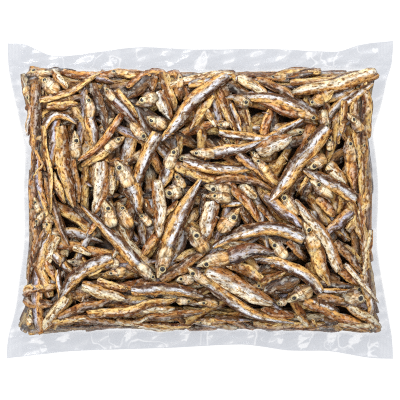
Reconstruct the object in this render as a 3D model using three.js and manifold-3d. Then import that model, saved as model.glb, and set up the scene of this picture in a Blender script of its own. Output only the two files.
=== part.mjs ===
// A clear pillow bag packed full of dried anchovies, lying flat with its shown side up.
// Millimetres, +Z up. The origin is on the surface that the bag lies on, under the middle of its outline.
// X runs along the two heat seals and Y from the near seal to the far one.
// The solid is the filled bag: the outer form of the film, with its two seal fins, and in relief on it the
// fish that press the film out from inside.
import * as THREE from "three";
import { mergeVertices } from "three/addons/utils/BufferGeometryUtils.js";
import Module from "manifold-3d";

const wasm = await Module();
wasm.setup();

// ---- driving dimensions ----
const HALF_WIDTH = 147; // from the middle to a side fold, along the seals
const HALF_LENGTH = 100.3; // from the middle to a seal line
const PACK_HEIGHT = 46; // the filled bag at its thickest, without the relief
const SEAL_HEIGHT = 11; // how high the seal fins leave the pillow
const CORNER_HEIGHT = 6; // the fins droop to this at the corners
const FOLD_HEIGHT = 16; // height of the side folds, half way up the bag
const FIN_HALF = 0.6; // half the thickness of a seal fin, film on film with its wrinkles
const FIN_WAVE = 1.6; // how far the free edge of a fin waves up and down
const FLAT_SHARE = 1.9; // how soon the underside reaches the surface below it, going inwards

// How the pillow swells from the side folds and from the seals: 1 - distance^power, to an exponent.
const SIDE_SWELL = { power: 4.4, exponent: 0.5 };
const SEAL_SWELL = { power: 5, exponent: 0.55 };

// ---- the outline, in millimetres ----
// Each fold is a list of [y, x]: the full middle draws it in, the flat corners leave it wide.
const LEFT_FOLD = [
  [-121, -147.3], [-104, -147], [-80, -140.5], [-58, -137], [-28, -133], [10, -133.3],
  [38, -132.6], [62, -137.5], [85, -143], [102, -146.3], [121, -146.6],
];
const RIGHT_FOLD = [
  [-121, 146.6], [-105, 147], [-78, 142], [-50, 136.5], [-30, 134], [10, 135], [34, 133],
  [50, 131.5], [72, 138], [90, 142.5], [103, 146.6], [121, 147.3],
];
// The seal lines and the free edges of the fins, as [x, y].
const FAR_SEAL = [[-147, 102], [-70, 100.6], [0, 100.2], [70, 100.8], [147, 103]];
const NEAR_SEAL = [[-147, -104.5], [-70, -101.5], [0, -100.4], [70, -101.5], [147, -105]];
const FAR_EDGE = [
  [-147, 119.5], [-134, 118.6], [-112, 109.8], [-80, 112.2], [-44, 116.1], [0, 114.2],
  [50, 114.9], [104, 113], [122, 118.2], [147, 121.4],
];
const NEAR_EDGE = [
  [-147, -120.7], [-123, -117.8], [-90, -114.4], [-36, -112.9], [32, -110], [68, -114.2],
  [97, -115], [130, -120.2], [147, -121.2],
];

// ---- the mesh of the bag ----
const COLUMNS = 26; // cells between the side folds
const BODY_ROWS = 18; // cells between the seals
const FIN_ROWS = 2; // cells across each fin

// ---- the fish that show through the film ----
// Where the photograph shows them: pixels of its 400 x 400 frame, from the front end to the tail end. bow is
// how far the middle bulges to the right of that line, and width is the depth of the body, both in pixels.
const PHOTO_MIDDLE = 200; // the pixel of the bag's centre, both ways
const MM_PER_PIXEL = 0.76; // at the height of the seals
const PHOTO_HEIGHT = 1140; // how high the camera was above the surface
// [kind, front x, front y, tail x, tail y, bow, width]
const SHOWN_FISH = [
  // along the far seal
  ["head", 22, 71, 48, 74, 0, 13], ["head", 34, 76, 56, 92, 0, 14], ["body", 48, 67, 67, 88, 0, 10],
  ["body", 40, 100, 103, 69, 4, 9], ["whole", 106, 73, 153, 73, 0, 11], ["body", 95, 80, 112, 76, 0, 9],
  ["body", 127, 98, 151, 78, 0, 12], ["body", 155, 92, 157, 72, 0, 9],
  ["body", 166, 71, 173, 104, 0, 13], ["whole", 179, 74, 182, 104, 0, 11],
  ["body", 196, 82, 215, 72, 0, 13], ["whole", 227, 75, 162, 141, 3, 13],
  ["body", 212, 96, 191, 130, 0, 9], ["body", 239, 75, 268, 96, 0, 13],
  ["body", 256, 79, 293, 98, -2, 10], ["whole", 268, 78, 314, 72, 2, 11],
  ["body", 291, 93, 379, 68, 2, 14], ["body", 345, 104, 372, 83, 0, 10],
  // the left side
  ["head", 29, 105, 24, 87, 0, 12], ["body", 36, 101, 26, 136, 2, 11], ["body", 47, 106, 79, 105, 0, 9],
  ["body", 43, 131, 77, 124, -12, 9], ["body", 57, 119, 49, 170, 0, 11],
  ["whole", 86, 96, 99, 153, 0, 13], ["body", 90, 84, 107, 130, 0, 12],
  ["head", 75, 131, 78, 160, 0, 13], ["body", 121, 113, 79, 161, 4, 8],
  ["whole", 125, 137, 82, 166, 0, 13], ["body", 61, 127, 76, 208, 3, 13],
  ["body", 43, 126, 51, 213, -2, 7], ["body", 47, 178, 69, 247, 3, 10], ["body", 52, 174, 66, 204, 0, 9],
  ["body", 35, 140, 30, 181, 0, 9], ["head", 36, 196, 41, 214, 0, 10], ["head", 35, 227, 44, 212, 0, 11],
  ["body", 105, 160, 93, 213, -3, 16], ["head", 104, 199, 113, 226, 0, 16],
  ["body", 45, 232, 27, 284, 3, 10], ["body", 58, 233, 43, 271, 0, 11], ["body", 54, 254, 72, 273, 0, 9],
  // the middle
  ["whole", 105, 86, 137, 123, 0, 10], ["body", 116, 90, 139, 118, 0, 9],
  ["head", 136, 105, 158, 98, 0, 15], ["body", 158, 93, 169, 120, 0, 13],
  ["head", 147, 119, 165, 124, 0, 15], ["head", 149, 143, 134, 126, 0, 12],
  ["body", 156, 133, 136, 187, 0, 13], ["whole", 178, 147, 160, 190, 0, 13],
  ["body", 157, 180, 159, 237, -2, 14], ["whole", 115, 161, 139, 214, -5, 17],
  ["head", 116, 200, 130, 227, 0, 14], ["whole", 157, 282, 82, 206, 0, 12],
  ["whole", 158, 277, 202, 177, 3, 16], ["whole", 317, 119, 224, 99, 3, 12],
  ["head", 253, 107, 237, 99, 0, 13], ["body", 263, 137, 270, 108, 0, 10],
  ["body", 237, 134, 223, 104, 0, 9], ["body", 242, 136, 231, 104, 0, 8],
  ["whole", 217, 134, 309, 114, 10, 12], ["body", 291, 136, 257, 152, 0, 17],
  ["whole", 309, 106, 333, 90, 0, 14], ["whole", 190, 152, 262, 141, 6, 12],
  ["body", 184, 162, 252, 168, 5, 13], ["body", 176, 166, 229, 181, 3, 11],
  ["whole", 238, 154, 276, 188, 0, 11], ["whole", 251, 157, 280, 187, 0, 12],
  ["body", 325, 127, 268, 201, 0, 16], ["body", 215, 182, 272, 190, -6, 10],
  ["body", 226, 179, 262, 225, -3, 12], ["body", 239, 185, 257, 199, 0, 12],
  ["head", 204, 187, 229, 192, 0, 15], ["head", 206, 196, 230, 200, 0, 13],
  ["body", 213, 202, 203, 243, 0, 15], ["head", 239, 208, 221, 231, 0, 15],
  ["head", 190, 227, 205, 250, 0, 18], ["body", 264, 196, 303, 229, 0, 13],
  ["head", 278, 190, 294, 214, 0, 15], ["body", 302, 238, 213, 247, 14, 14],
  // the right side
  ["head", 329, 134, 322, 110, 0, 14], ["body", 344, 101, 342, 135, 0, 7],
  ["head", 346, 114, 362, 130, 0, 15], ["head", 304, 169, 324, 159, 0, 14],
  ["body", 303, 171, 356, 197, 0, 14], ["whole", 349, 137, 354, 190, 0, 13],
  ["body", 328, 164, 345, 185, 0, 13], ["head", 309, 180, 329, 197, 0, 13],
  ["body", 318, 199, 334, 215, 0, 11], ["body", 295, 199, 339, 270, -3, 13],
  ["body", 351, 210, 324, 236, 0, 12], ["whole", 303, 221, 329, 285, 0, 16],
  ["body", 358, 145, 361, 197, 0, 9], ["body", 352, 198, 362, 241, 0, 11],
  ["body", 335, 242, 364, 275, 0, 10], ["body", 345, 264, 380, 303, 0, 8],
  ["body", 372, 232, 364, 276, 0, 10], ["body", 339, 268, 359, 285, 0, 9],
  // along the near seal
  ["whole", 197, 267, 272, 247, -4, 17], ["body", 161, 280, 205, 252, 0, 12],
  ["whole", 188, 267, 290, 325, 6, 12], ["body", 206, 272, 272, 305, 0, 17],
  ["body", 320, 291, 251, 260, 7, 12], ["body", 231, 260, 265, 281, 0, 13],
  ["body", 261, 284, 287, 270, 0, 11], ["body", 264, 292, 300, 276, 0, 14],
  ["head", 286, 303, 309, 289, 0, 17], ["head", 367, 301, 346, 295, 0, 18],
  ["body", 317, 297, 349, 301, 0, 11], ["body", 301, 300, 370, 332, 0, 13],
  ["body", 258, 305, 298, 315, 3, 12], ["body", 338, 307, 382, 331, 0, 11],
  ["body", 112, 256, 61, 299, 9, 13], ["body", 62, 299, 33, 334, 0, 12],
  ["body", 21, 295, 57, 286, -2, 12], ["body", 23, 302, 55, 304, 2, 10],
  ["body", 83, 285, 140, 302, -2, 13], ["body", 131, 290, 203, 296, -6, 14],
  ["body", 60, 318, 114, 294, 0, 13], ["body", 103, 312, 176, 300, 2, 12],
  ["body", 142, 309, 174, 309, 0, 10], ["body", 149, 322, 226, 313, 0, 13],
  ["body", 61, 318, 126, 318, 3, 9], ["body", 88, 324, 148, 317, 2, 8],
  ["body", 195, 324, 252, 320, 0, 10], ["body", 27, 326, 40, 311, 0, 11],
  ["body", 292, 318, 315, 330, 0, 11],
];
// Share of a fish's length, half its depth there as a share of the width, for each kind, front end first.
const PROFILES = {
  whole: [[0, 0.06], [0.16, 0.45], [0.55, 0.46], [1, 0.08]],
  body: [[0, 0.36], [0.3, 0.5], [0.7, 0.36], [1, 0.1]],
  head: [[0, 0.08], [0.5, 0.5], [1, 0.4]],
};
const FISH_SIDES = 4;
const FISH_FLATNESS = 0.66; // thickness of a fish lying on its side, as a share of its depth
const FISH_SINK = 0.1; // how far a fish's middle lies inside the pillow, as a share of its width

// Fish that press out round the steep sides, which the photograph looks past: they lie along the edge.
const SIDE_FISH = {
  seed: 5,
  alongFolds: 13, // on each of the two sides
  alongSeals: 15, // at each of the two seals
  across: [0.93, 0.985], // where a fish at a fold lies, as a share of the half width
  up: [0.86, 0.955], // and at a seal, as a share of the half length
  length: [26, 62], // millimetres
  slant: 0.05, // how much of that share a fish may climb from end to end
  width: [7, 11.5], // millimetres
};

// A smooth curve through hand-set points, read as a height over the first coordinate.
function along(points, at) {
  const last = points.length - 1;
  if (at <= points[0][0]) return points[0][1];
  if (at >= points[last][0]) return points[last][1];
  let i = 0;
  while (at > points[i + 1][0]) i += 1;
  const [x0, y0] = points[i];
  const [x1, y1] = points[i + 1];
  const before = points[Math.max(i - 1, 0)];
  const after = points[Math.min(i + 2, last)];
  const slope0 = (y1 - before[1]) / (x1 - before[0]);
  const slope1 = (after[1] - y0) / (after[0] - x0);
  const t = (at - x0) / (x1 - x0);
  const h = x1 - x0;
  const rise = y1 - y0;
  // The cubic that meets both ends with these slopes.
  return y0 + t * (h * slope0 + t * (3 * rise - h * (2 * slope0 + slope1)
    + t * (h * (slope0 + slope1) - 2 * rise)));
}

const mix = (a, b, share) => a + (b - a) * share;

// Where a place of the bag lies on the table: across and up run from -1 to 1 inside the body,
// and up goes on past that to -2 and 2 at the free edges of the fins.
function placeOf(across, up) {
  const inside = Math.max(-1, Math.min(1, up));
  const out = Math.abs(up) - Math.abs(inside);
  const share = (across + 1) / 2;
  const seal = up > 0 ? FAR_SEAL : NEAR_SEAL;
  const edge = up > 0 ? FAR_EDGE : NEAR_EDGE;
  const rowY = mix(HALF_LENGTH * inside, along(edge, 0), out);
  const x = mix(along(LEFT_FOLD, rowY), along(RIGHT_FOLD, rowY), share);
  if (out > 0) return [x, mix(along(seal, x), along(edge, x), out)];
  return [x, mix(along(NEAR_SEAL, x), along(FAR_SEAL, x), (inside + 1) / 2)];
}

// How full the pillow is at a place, from 0 at its folds and seals to 1.
function fullness(across, up) {
  const side = (1 - Math.abs(across) ** SIDE_SWELL.power) ** SIDE_SWELL.exponent;
  const end = (1 - Math.min(1, Math.abs(up)) ** SEAL_SWELL.power) ** SEAL_SWELL.exponent;
  return side * end;
}

// The upper and lower face of the bag over a place.
function facesOf(across, up) {
  const end = Math.min(1, Math.abs(up));
  const out = Math.max(0, Math.abs(up) - 1);
  const seam = mix(SEAL_HEIGHT, CORNER_HEIGHT, Math.abs(across) ** 4);
  const middle = mix(FOLD_HEIGHT, seam, end ** 3);
  const full = fullness(across, up);
  const wave = FIN_WAVE * out * Math.sin(across * 13 + (up > 0 ? 0.6 : 2.1)) * (1 - across ** 8);
  const half = FIN_HALF * (1 - Math.abs(across) ** 30);
  const top = mix(middle + half, PACK_HEIGHT, full) + wave;
  const bottom = (middle - half) * (1 - Math.min(1, FLAT_SHARE * full) ** 1.4) + wave;
  return [top, Math.max(0, bottom)];
}

// The place of the body, across and up, that lies at x, y on the table.
function placeAt(x, y) {
  const up = 2 * (y - along(NEAR_SEAL, x)) / (along(FAR_SEAL, x) - along(NEAR_SEAL, x)) - 1;
  const left = along(LEFT_FOLD, y);
  const across = 2 * (x - left) / (along(RIGHT_FOLD, y) - left) - 1;
  return [Math.max(-1, Math.min(1, across)), Math.max(-1, Math.min(1, up))];
}

// The point of the pillow's upper face at across, up.
function onPillow(across, up) {
  const [x, y] = placeOf(across, up);
  return new THREE.Vector3(x, y, facesOf(across, up)[0]);
}

// That face's direction outwards, from the points a small step away.
function outwardAt(across, up) {
  const step = 0.004;
  const a = onPillow(Math.max(-1, across - step), up);
  const b = onPillow(Math.min(1, across + step), up);
  const c = onPillow(across, Math.max(-1, up - step));
  const d = onPillow(across, Math.min(1, up + step));
  return b.sub(a).cross(d.sub(c)).normalize();
}

// Random numbers from 0 to 1 that are the same on every run.
function randomFrom(seed) {
  let state = seed;
  return () => {
    state = (Math.imul(state, 1664525) + 1013904223) >>> 0;
    return state / 4294967296;
  };
}

function manifoldOf(points, faces) {
  const corners = faces.flat().flatMap((i) => points[i]);
  const raw = new THREE.BufferGeometry()
    .setAttribute("position", new THREE.Float32BufferAttribute(corners, 3));
  const merged = mergeVertices(raw, 1e-4);
  const index = Array.from(merged.index.array);
  const kept = [];
  for (let i = 0; i < index.length; i += 3) {
    const [a, b, c] = index.slice(i, i + 3);
    if (a !== b && b !== c && a !== c) kept.push(a, b, c); // a cell at a fold has closed up
  }
  return new wasm.Manifold(new wasm.Mesh({
    numProp: 3,
    vertProperties: merged.getAttribute("position").array,
    triVerts: new Uint32Array(kept),
  }));
}

// The pillow with its fins, closed along the side folds and the free edges.
function pillow() {
  const ups = [];
  for (let j = 0; j < FIN_ROWS; j += 1) ups.push(-2 + j / FIN_ROWS);
  for (let j = 0; j <= BODY_ROWS; j += 1) {
    const even = -1 + (2 * j) / BODY_ROWS;
    ups.push(mix(even, Math.sin((even * Math.PI) / 2), 0.75)); // closer rows where it swells
  }
  for (let j = 1; j <= FIN_ROWS; j += 1) ups.push(1 + j / FIN_ROWS);
  const points = [];
  const faces = [];
  for (const up of ups) {
    for (let i = 0; i <= COLUMNS; i += 1) {
      const even = -1 + (2 * i) / COLUMNS;
      const across = mix(even, Math.sin((even * Math.PI) / 2), 0.8);
      const [x, y] = placeOf(across, up);
      const [top, bottom] = facesOf(across, up);
      points.push([x, y, top], [x, y, bottom]);
    }
  }
  const at = (i, j, lower) => 2 * (j * (COLUMNS + 1) + i) + lower;
  const quad = (a, b, c, d) => faces.push([a, b, c], [a, c, d]);
  const rows = ups.length - 1;
  for (let j = 0; j < rows; j += 1) {
    for (let i = 0; i < COLUMNS; i += 1) {
      quad(at(i, j, 0), at(i + 1, j, 0), at(i + 1, j + 1, 0), at(i, j + 1, 0));
      quad(at(i, j, 1), at(i, j + 1, 1), at(i + 1, j + 1, 1), at(i + 1, j, 1));
    }
  }
  for (let i = 0; i < COLUMNS; i += 1) {
    quad(at(i, 0, 0), at(i, 0, 1), at(i + 1, 0, 1), at(i + 1, 0, 0));
    quad(at(i, rows, 0), at(i + 1, rows, 0), at(i + 1, rows, 1), at(i, rows, 1));
  }
  return manifoldOf(points, faces);
}

// A point of the photograph on the table, for a thing at height z: nearer the camera it looks larger.
function fromPhoto(px, py, z) {
  const scale = MM_PER_PIXEL * (PHOTO_HEIGHT - z) / (PHOTO_HEIGHT - SEAL_HEIGHT);
  return [(px - PHOTO_MIDDLE) * scale, (PHOTO_MIDDLE - py) * scale];
}

// One fish, lying on its side along the pillow. spots are its places across and up, one for each ring.
function fishOver(kind, spots, width) {
  const outwards = spots.map((spot) => outwardAt(...spot));
  const middles = spots.map((spot, i) => onPillow(...spot).addScaledVector(outwards[i], -FISH_SINK * width));
  const points = [];
  const faces = [];
  PROFILES[kind].forEach(([, half], i) => {
    const before = middles[Math.max(i - 1, 0)];
    const after = middles[Math.min(i + 1, middles.length - 1)];
    const way = new THREE.Vector3().subVectors(after, before).normalize();
    const aside = new THREE.Vector3().crossVectors(outwards[i], way).normalize();
    const high = new THREE.Vector3().crossVectors(way, aside);
    for (let k = 0; k < FISH_SIDES; k += 1) {
      const turn = Math.PI / 2 + (k * 2 * Math.PI) / FISH_SIDES;
      const p = middles[i].clone()
        .addScaledVector(aside, Math.cos(turn) * half * width)
        .addScaledVector(high, Math.sin(turn) * half * width * FISH_FLATNESS);
      points.push(p.toArray());
    }
  });
  const ring = (i, k) => i * FISH_SIDES + (k % FISH_SIDES);
  const last = spots.length - 1;
  for (let k = 0; k < FISH_SIDES; k += 1) {
    for (let i = 0; i < last; i += 1) {
      faces.push([ring(i, k), ring(i + 1, k + 1), ring(i + 1, k)]);
      faces.push([ring(i, k), ring(i, k + 1), ring(i + 1, k + 1)]);
    }
    if (k > 0 && k < FISH_SIDES - 1) {
      faces.push([ring(0, 0), ring(0, k + 1), ring(0, k)]);
      faces.push([ring(last, 0), ring(last, k), ring(last, k + 1)]);
    }
  }
  return manifoldOf(points, faces);
}

function shownFish([kind, frontX, frontY, tailX, tailY, bow, widthPixels]) {
  const run = new THREE.Vector2(tailX - frontX, tailY - frontY);
  const aside = new THREE.Vector2(-run.y, run.x).normalize();
  const spots = PROFILES[kind].map(([share]) => {
    const bulge = 4 * bow * share * (1 - share);
    const px = frontX + run.x * share + aside.x * bulge;
    const py = frontY + run.y * share + aside.y * bulge;
    return placeAt(...fromPhoto(px, py, PACK_HEIGHT * 0.8));
  });
  return fishOver(kind, spots, widthPixels * MM_PER_PIXEL);
}

function sideFish() {
  const random = randomFrom(SIDE_FISH.seed);
  const between = ([low, high]) => mix(low, high, random());
  const all = [];
  // count fish along an edge of half length halfEdge, over the share of it that reach says.
  const lay = (count, halfEdge, range, reach, toPlace) => {
    for (let i = 0; i < count; i += 1) {
      const middle = mix(-reach, reach, (i + 0.25 + 0.5 * random()) / count);
      const share = between(range);
      const half = between(SIDE_FISH.length) / (halfEdge * 2);
      const turned = random() < 0.5 ? -1 : 1;
      const climb = SIDE_FISH.slant * (random() - 0.5);
      const kind = random() < 0.6 ? "body" : "whole";
      const spots = PROFILES[kind].map(([t]) => {
        const place = Math.max(-0.9, Math.min(0.9, middle + turned * half * (2 * t - 1)));
        return toPlace(place, share + climb * (t - 0.5));
      });
      all.push(fishOver(kind, spots, between(SIDE_FISH.width)));
    }
  };
  for (const side of [-1, 1]) {
    lay(SIDE_FISH.alongFolds, HALF_LENGTH, SIDE_FISH.across, 0.8, (place, share) => [side * share, place]);
    lay(SIDE_FISH.alongSeals, HALF_WIDTH, SIDE_FISH.up, 0.85, (place, share) => [place, side * share]);
  }
  return all;
}

function geometryOf(solid) {
  const mesh = solid.getMesh();
  const positions = new Float32Array(mesh.numVert * 3);
  for (let i = 0; i < mesh.numVert; i += 1) {
    positions.set(mesh.vertProperties.subarray(i * mesh.numProp, i * mesh.numProp + 3), i * 3);
  }
  const geometry = new THREE.BufferGeometry();
  geometry.setAttribute("position", new THREE.BufferAttribute(positions, 3));
  geometry.setIndex(new THREE.BufferAttribute(mesh.triVerts, 1));
  geometry.computeVertexNormals();
  return geometry;
}

function filledBag() {
  let solid = pillow();
  for (const one of [...SHOWN_FISH.map(shownFish), ...sideFish()]) solid = solid.add(one);
  const material = new THREE.MeshStandardMaterial({ color: 0x9e7d59, roughness: 0.35, metalness: 0 });
  const bag = new THREE.Mesh(geometryOf(solid), material);
  bag.name = "filled_bag";
  return bag;
}

const pack = new THREE.Group();
pack.add(filledBag());

export default pack;
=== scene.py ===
"""A clear pillow bag packed full of dried anchovies, lying flat and seen from straight above.

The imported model's one solid gives the filled bag's form. Here the film and the fish inside it take its place.
Lengths are in millimetres until a mesh is made, with +Z up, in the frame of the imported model.
"""

import math
from collections import namedtuple

import bpy
import numpy as np
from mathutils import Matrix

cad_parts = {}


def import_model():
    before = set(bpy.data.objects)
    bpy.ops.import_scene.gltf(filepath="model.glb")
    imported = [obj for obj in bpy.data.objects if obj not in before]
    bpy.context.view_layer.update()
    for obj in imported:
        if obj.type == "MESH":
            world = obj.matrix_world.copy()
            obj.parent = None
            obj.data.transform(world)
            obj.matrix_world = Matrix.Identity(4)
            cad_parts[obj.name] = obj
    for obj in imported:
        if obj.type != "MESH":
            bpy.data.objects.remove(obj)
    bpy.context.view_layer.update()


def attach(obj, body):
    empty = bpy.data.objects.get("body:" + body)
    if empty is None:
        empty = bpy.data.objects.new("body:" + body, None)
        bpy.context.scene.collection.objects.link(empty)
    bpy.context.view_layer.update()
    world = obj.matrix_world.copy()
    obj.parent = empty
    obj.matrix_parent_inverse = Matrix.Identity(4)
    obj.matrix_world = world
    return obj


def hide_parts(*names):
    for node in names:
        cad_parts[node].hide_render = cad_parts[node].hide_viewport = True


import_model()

METRES = 0.001  # one millimetre
NODE = "filled_bag"

# ---- the bag's form, as the solid has it ----
HALF_WIDTH = 147  # from the middle to a side fold, along the seals
HALF_LENGTH = 100.3  # from the middle to a seal line
PACK_HEIGHT = 46
SEAL_HEIGHT = 11
CORNER_HEIGHT = 6
FOLD_HEIGHT = 16
FIN_WAVE = 1.6  # how far the fins wave up and down
FIN_WAVES = 13  # radians of that wave from the middle to a corner
FIN_PHASES = (0.6, 2.1)  # of the far and the near fin
FLAT_SHARE = 1.9  # the larger, the wider the bag lies on the table
SIDE_SWELL = (4.4, 0.5)  # powers of how the bag fills out from a fold
SEAL_SWELL = (5, 0.55)  # and from a seal
LEFT_FOLD = [
    (-121, -147.3), (-104, -147), (-80, -140.5), (-58, -137), (-28, -133), (10, -133.3),
    (38, -132.6), (62, -137.5), (85, -143), (102, -146.3), (121, -146.6),
]
RIGHT_FOLD = [
    (-121, 146.6), (-105, 147), (-78, 142), (-50, 136.5), (-30, 134), (10, 135), (34, 133),
    (50, 131.5), (72, 138), (90, 142.5), (103, 146.6), (121, 147.3),
]
FAR_SEAL = [(-147, 102), (-70, 100.6), (0, 100.2), (70, 100.8), (147, 103)]
NEAR_SEAL = [(-147, -104.5), (-70, -101.5), (0, -100.4), (70, -101.5), (147, -105)]
FAR_EDGE = [
    (-147, 119.5), (-134, 118.6), (-112, 109.8), (-80, 112.2), (-44, 116.1), (0, 114.2),
    (50, 114.9), (104, 113), (122, 118.2), (147, 121.4),
]
NEAR_EDGE = [
    (-147, -120.7), (-123, -117.8), (-90, -114.4), (-36, -112.9), (32, -110), (68, -114.2),
    (97, -115), (130, -120.2), (147, -121.2),
]

# ---- the photograph ----
PHOTO_SIDE = 400  # pixels
PHOTO_MIDDLE = 200  # the pixel of the bag's centre, both ways
MM_PER_PIXEL = 0.76  # at the height of the seals
CAMERA_HEIGHT = 1140
SHOWN_HEIGHT = 0.8 * PACK_HEIGHT  # about where the shown fish lie

# ---- the fish ----
HEAD_LENGTH = 1.75  # of a whole fish, in depths of its body
EYE_AT = 0.36  # share of the head's length, from the snout
EYE_UP = 0.16  # how far above the middle of the side, in half depths of the body
EYE_RADIUS = 0.205  # share of the body's depth
FLATNESS = (0.42, 0.56)  # thickness of a body as a share of its depth
# Outlines: share of the length from the front, and there the share of the full depth or thickness.
HEAD_DEPTH = [(0, 0.10), (0.1, 0.38), (0.3, 0.72), (0.5, 0.92), (0.75, 1.02), (0.92, 1.02), (1, 0.9)]
HEAD_THICK = [(0, 0.12), (0.15, 0.42), (0.4, 0.84), (0.7, 1.14), (0.9, 1.16), (1, 0.9)]
LOOSE_DEPTH = [
    (0, 0.10), (0.1, 0.38), (0.3, 0.72), (0.5, 0.93), (0.7, 1.0), (0.86, 0.98), (0.95, 0.86), (1, 0.68),
]
LOOSE_THICK = [(0, 0.12), (0.15, 0.42), (0.4, 0.86), (0.7, 1.1), (0.88, 1.0), (1, 0.55)]
TAIL_DEPTH = [(0, 0.92), (0.12, 1.0), (0.35, 1.0), (0.6, 0.84), (0.8, 0.58), (0.93, 0.36), (1, 0.26)]
TAIL_THICK = [(0, 0.85), (0.2, 1.0), (0.5, 0.88), (0.8, 0.6), (1, 0.2)]
BODY_DEPTH = [(0, 0.78), (0.06, 0.93), (0.25, 1.0), (0.6, 0.95), (0.82, 0.74), (0.95, 0.5), (1, 0.3)]
BODY_THICK = [(0, 0.7), (0.12, 1.0), (0.6, 0.98), (0.85, 0.7), (1, 0.25)]
WRINKLES = ((3, 0.02), (5, 0.024), (8, 0.02))  # how many round a fish, and how high, in depths of it

# Colours of back, side and belly, as sRGB.
PALETTES = {
    "silver": ((88, 56, 30), (218, 218, 222), (222, 176, 104)),
    "lilac": ((78, 53, 36), (184, 180, 198), (206, 156, 90)),
    "gold": ((122, 76, 30), (212, 168, 96), (232, 198, 130)),
    "cream": ((194, 146, 82), (238, 228, 202), (236, 218, 176)),
    "brown": ((74, 50, 28), (148, 106, 62), (184, 134, 76)),
    "dark": ((40, 30, 24), (98, 90, 86), (126, 92, 58)),
    "orange": ((130, 76, 30), (204, 142, 76), (226, 176, 104)),
    "wine": ((54, 38, 34), (190, 186, 190), (116, 72, 46)),
    "white": ((164, 114, 62), (230, 226, 216), (232, 216, 184)),
}
RIM = (136, 90, 46)  # the thin edges of back and belly, where light comes through
CREASE = (96, 62, 34)
SOCKET = (62, 42, 26)  # round the eye
PAINTED_SHEEN = (240, 242, 248)  # painted highlight: the brightest line along a side, and bright arcs on the gill plates
EYE_RING = (222, 202, 150)
HEAD_SKIN = (238, 225, 188)
HEAD_GOLD = (208, 154, 68)
FLESH = (214, 190, 150)  # the broken end of a body
FLAKE = (234, 224, 204)
SPECK = (48, 30, 16)
# Painted shade: the dark tones of the heap's inside, seen between the fish.
CORE_PAINTED_SHADE = ((40, 26, 16), (110, 74, 42))
# Lines on the skin: strength, place and width. The place is a level from the back at 1 to the belly at -1, or
# how far behind the eye, in depths of the body.
BODY_LINES = ((0.75, 0.38, 0.08), (0.6, -0.3, 0.06), (0.35, -0.02, 0.04))
# Painted highlights on the gill plates.
PAINTED_GILL_SHINE = ((1, 0.55, 0.035), (1, 0.4, 0.03), (1, 0.66, 0.03))

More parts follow.
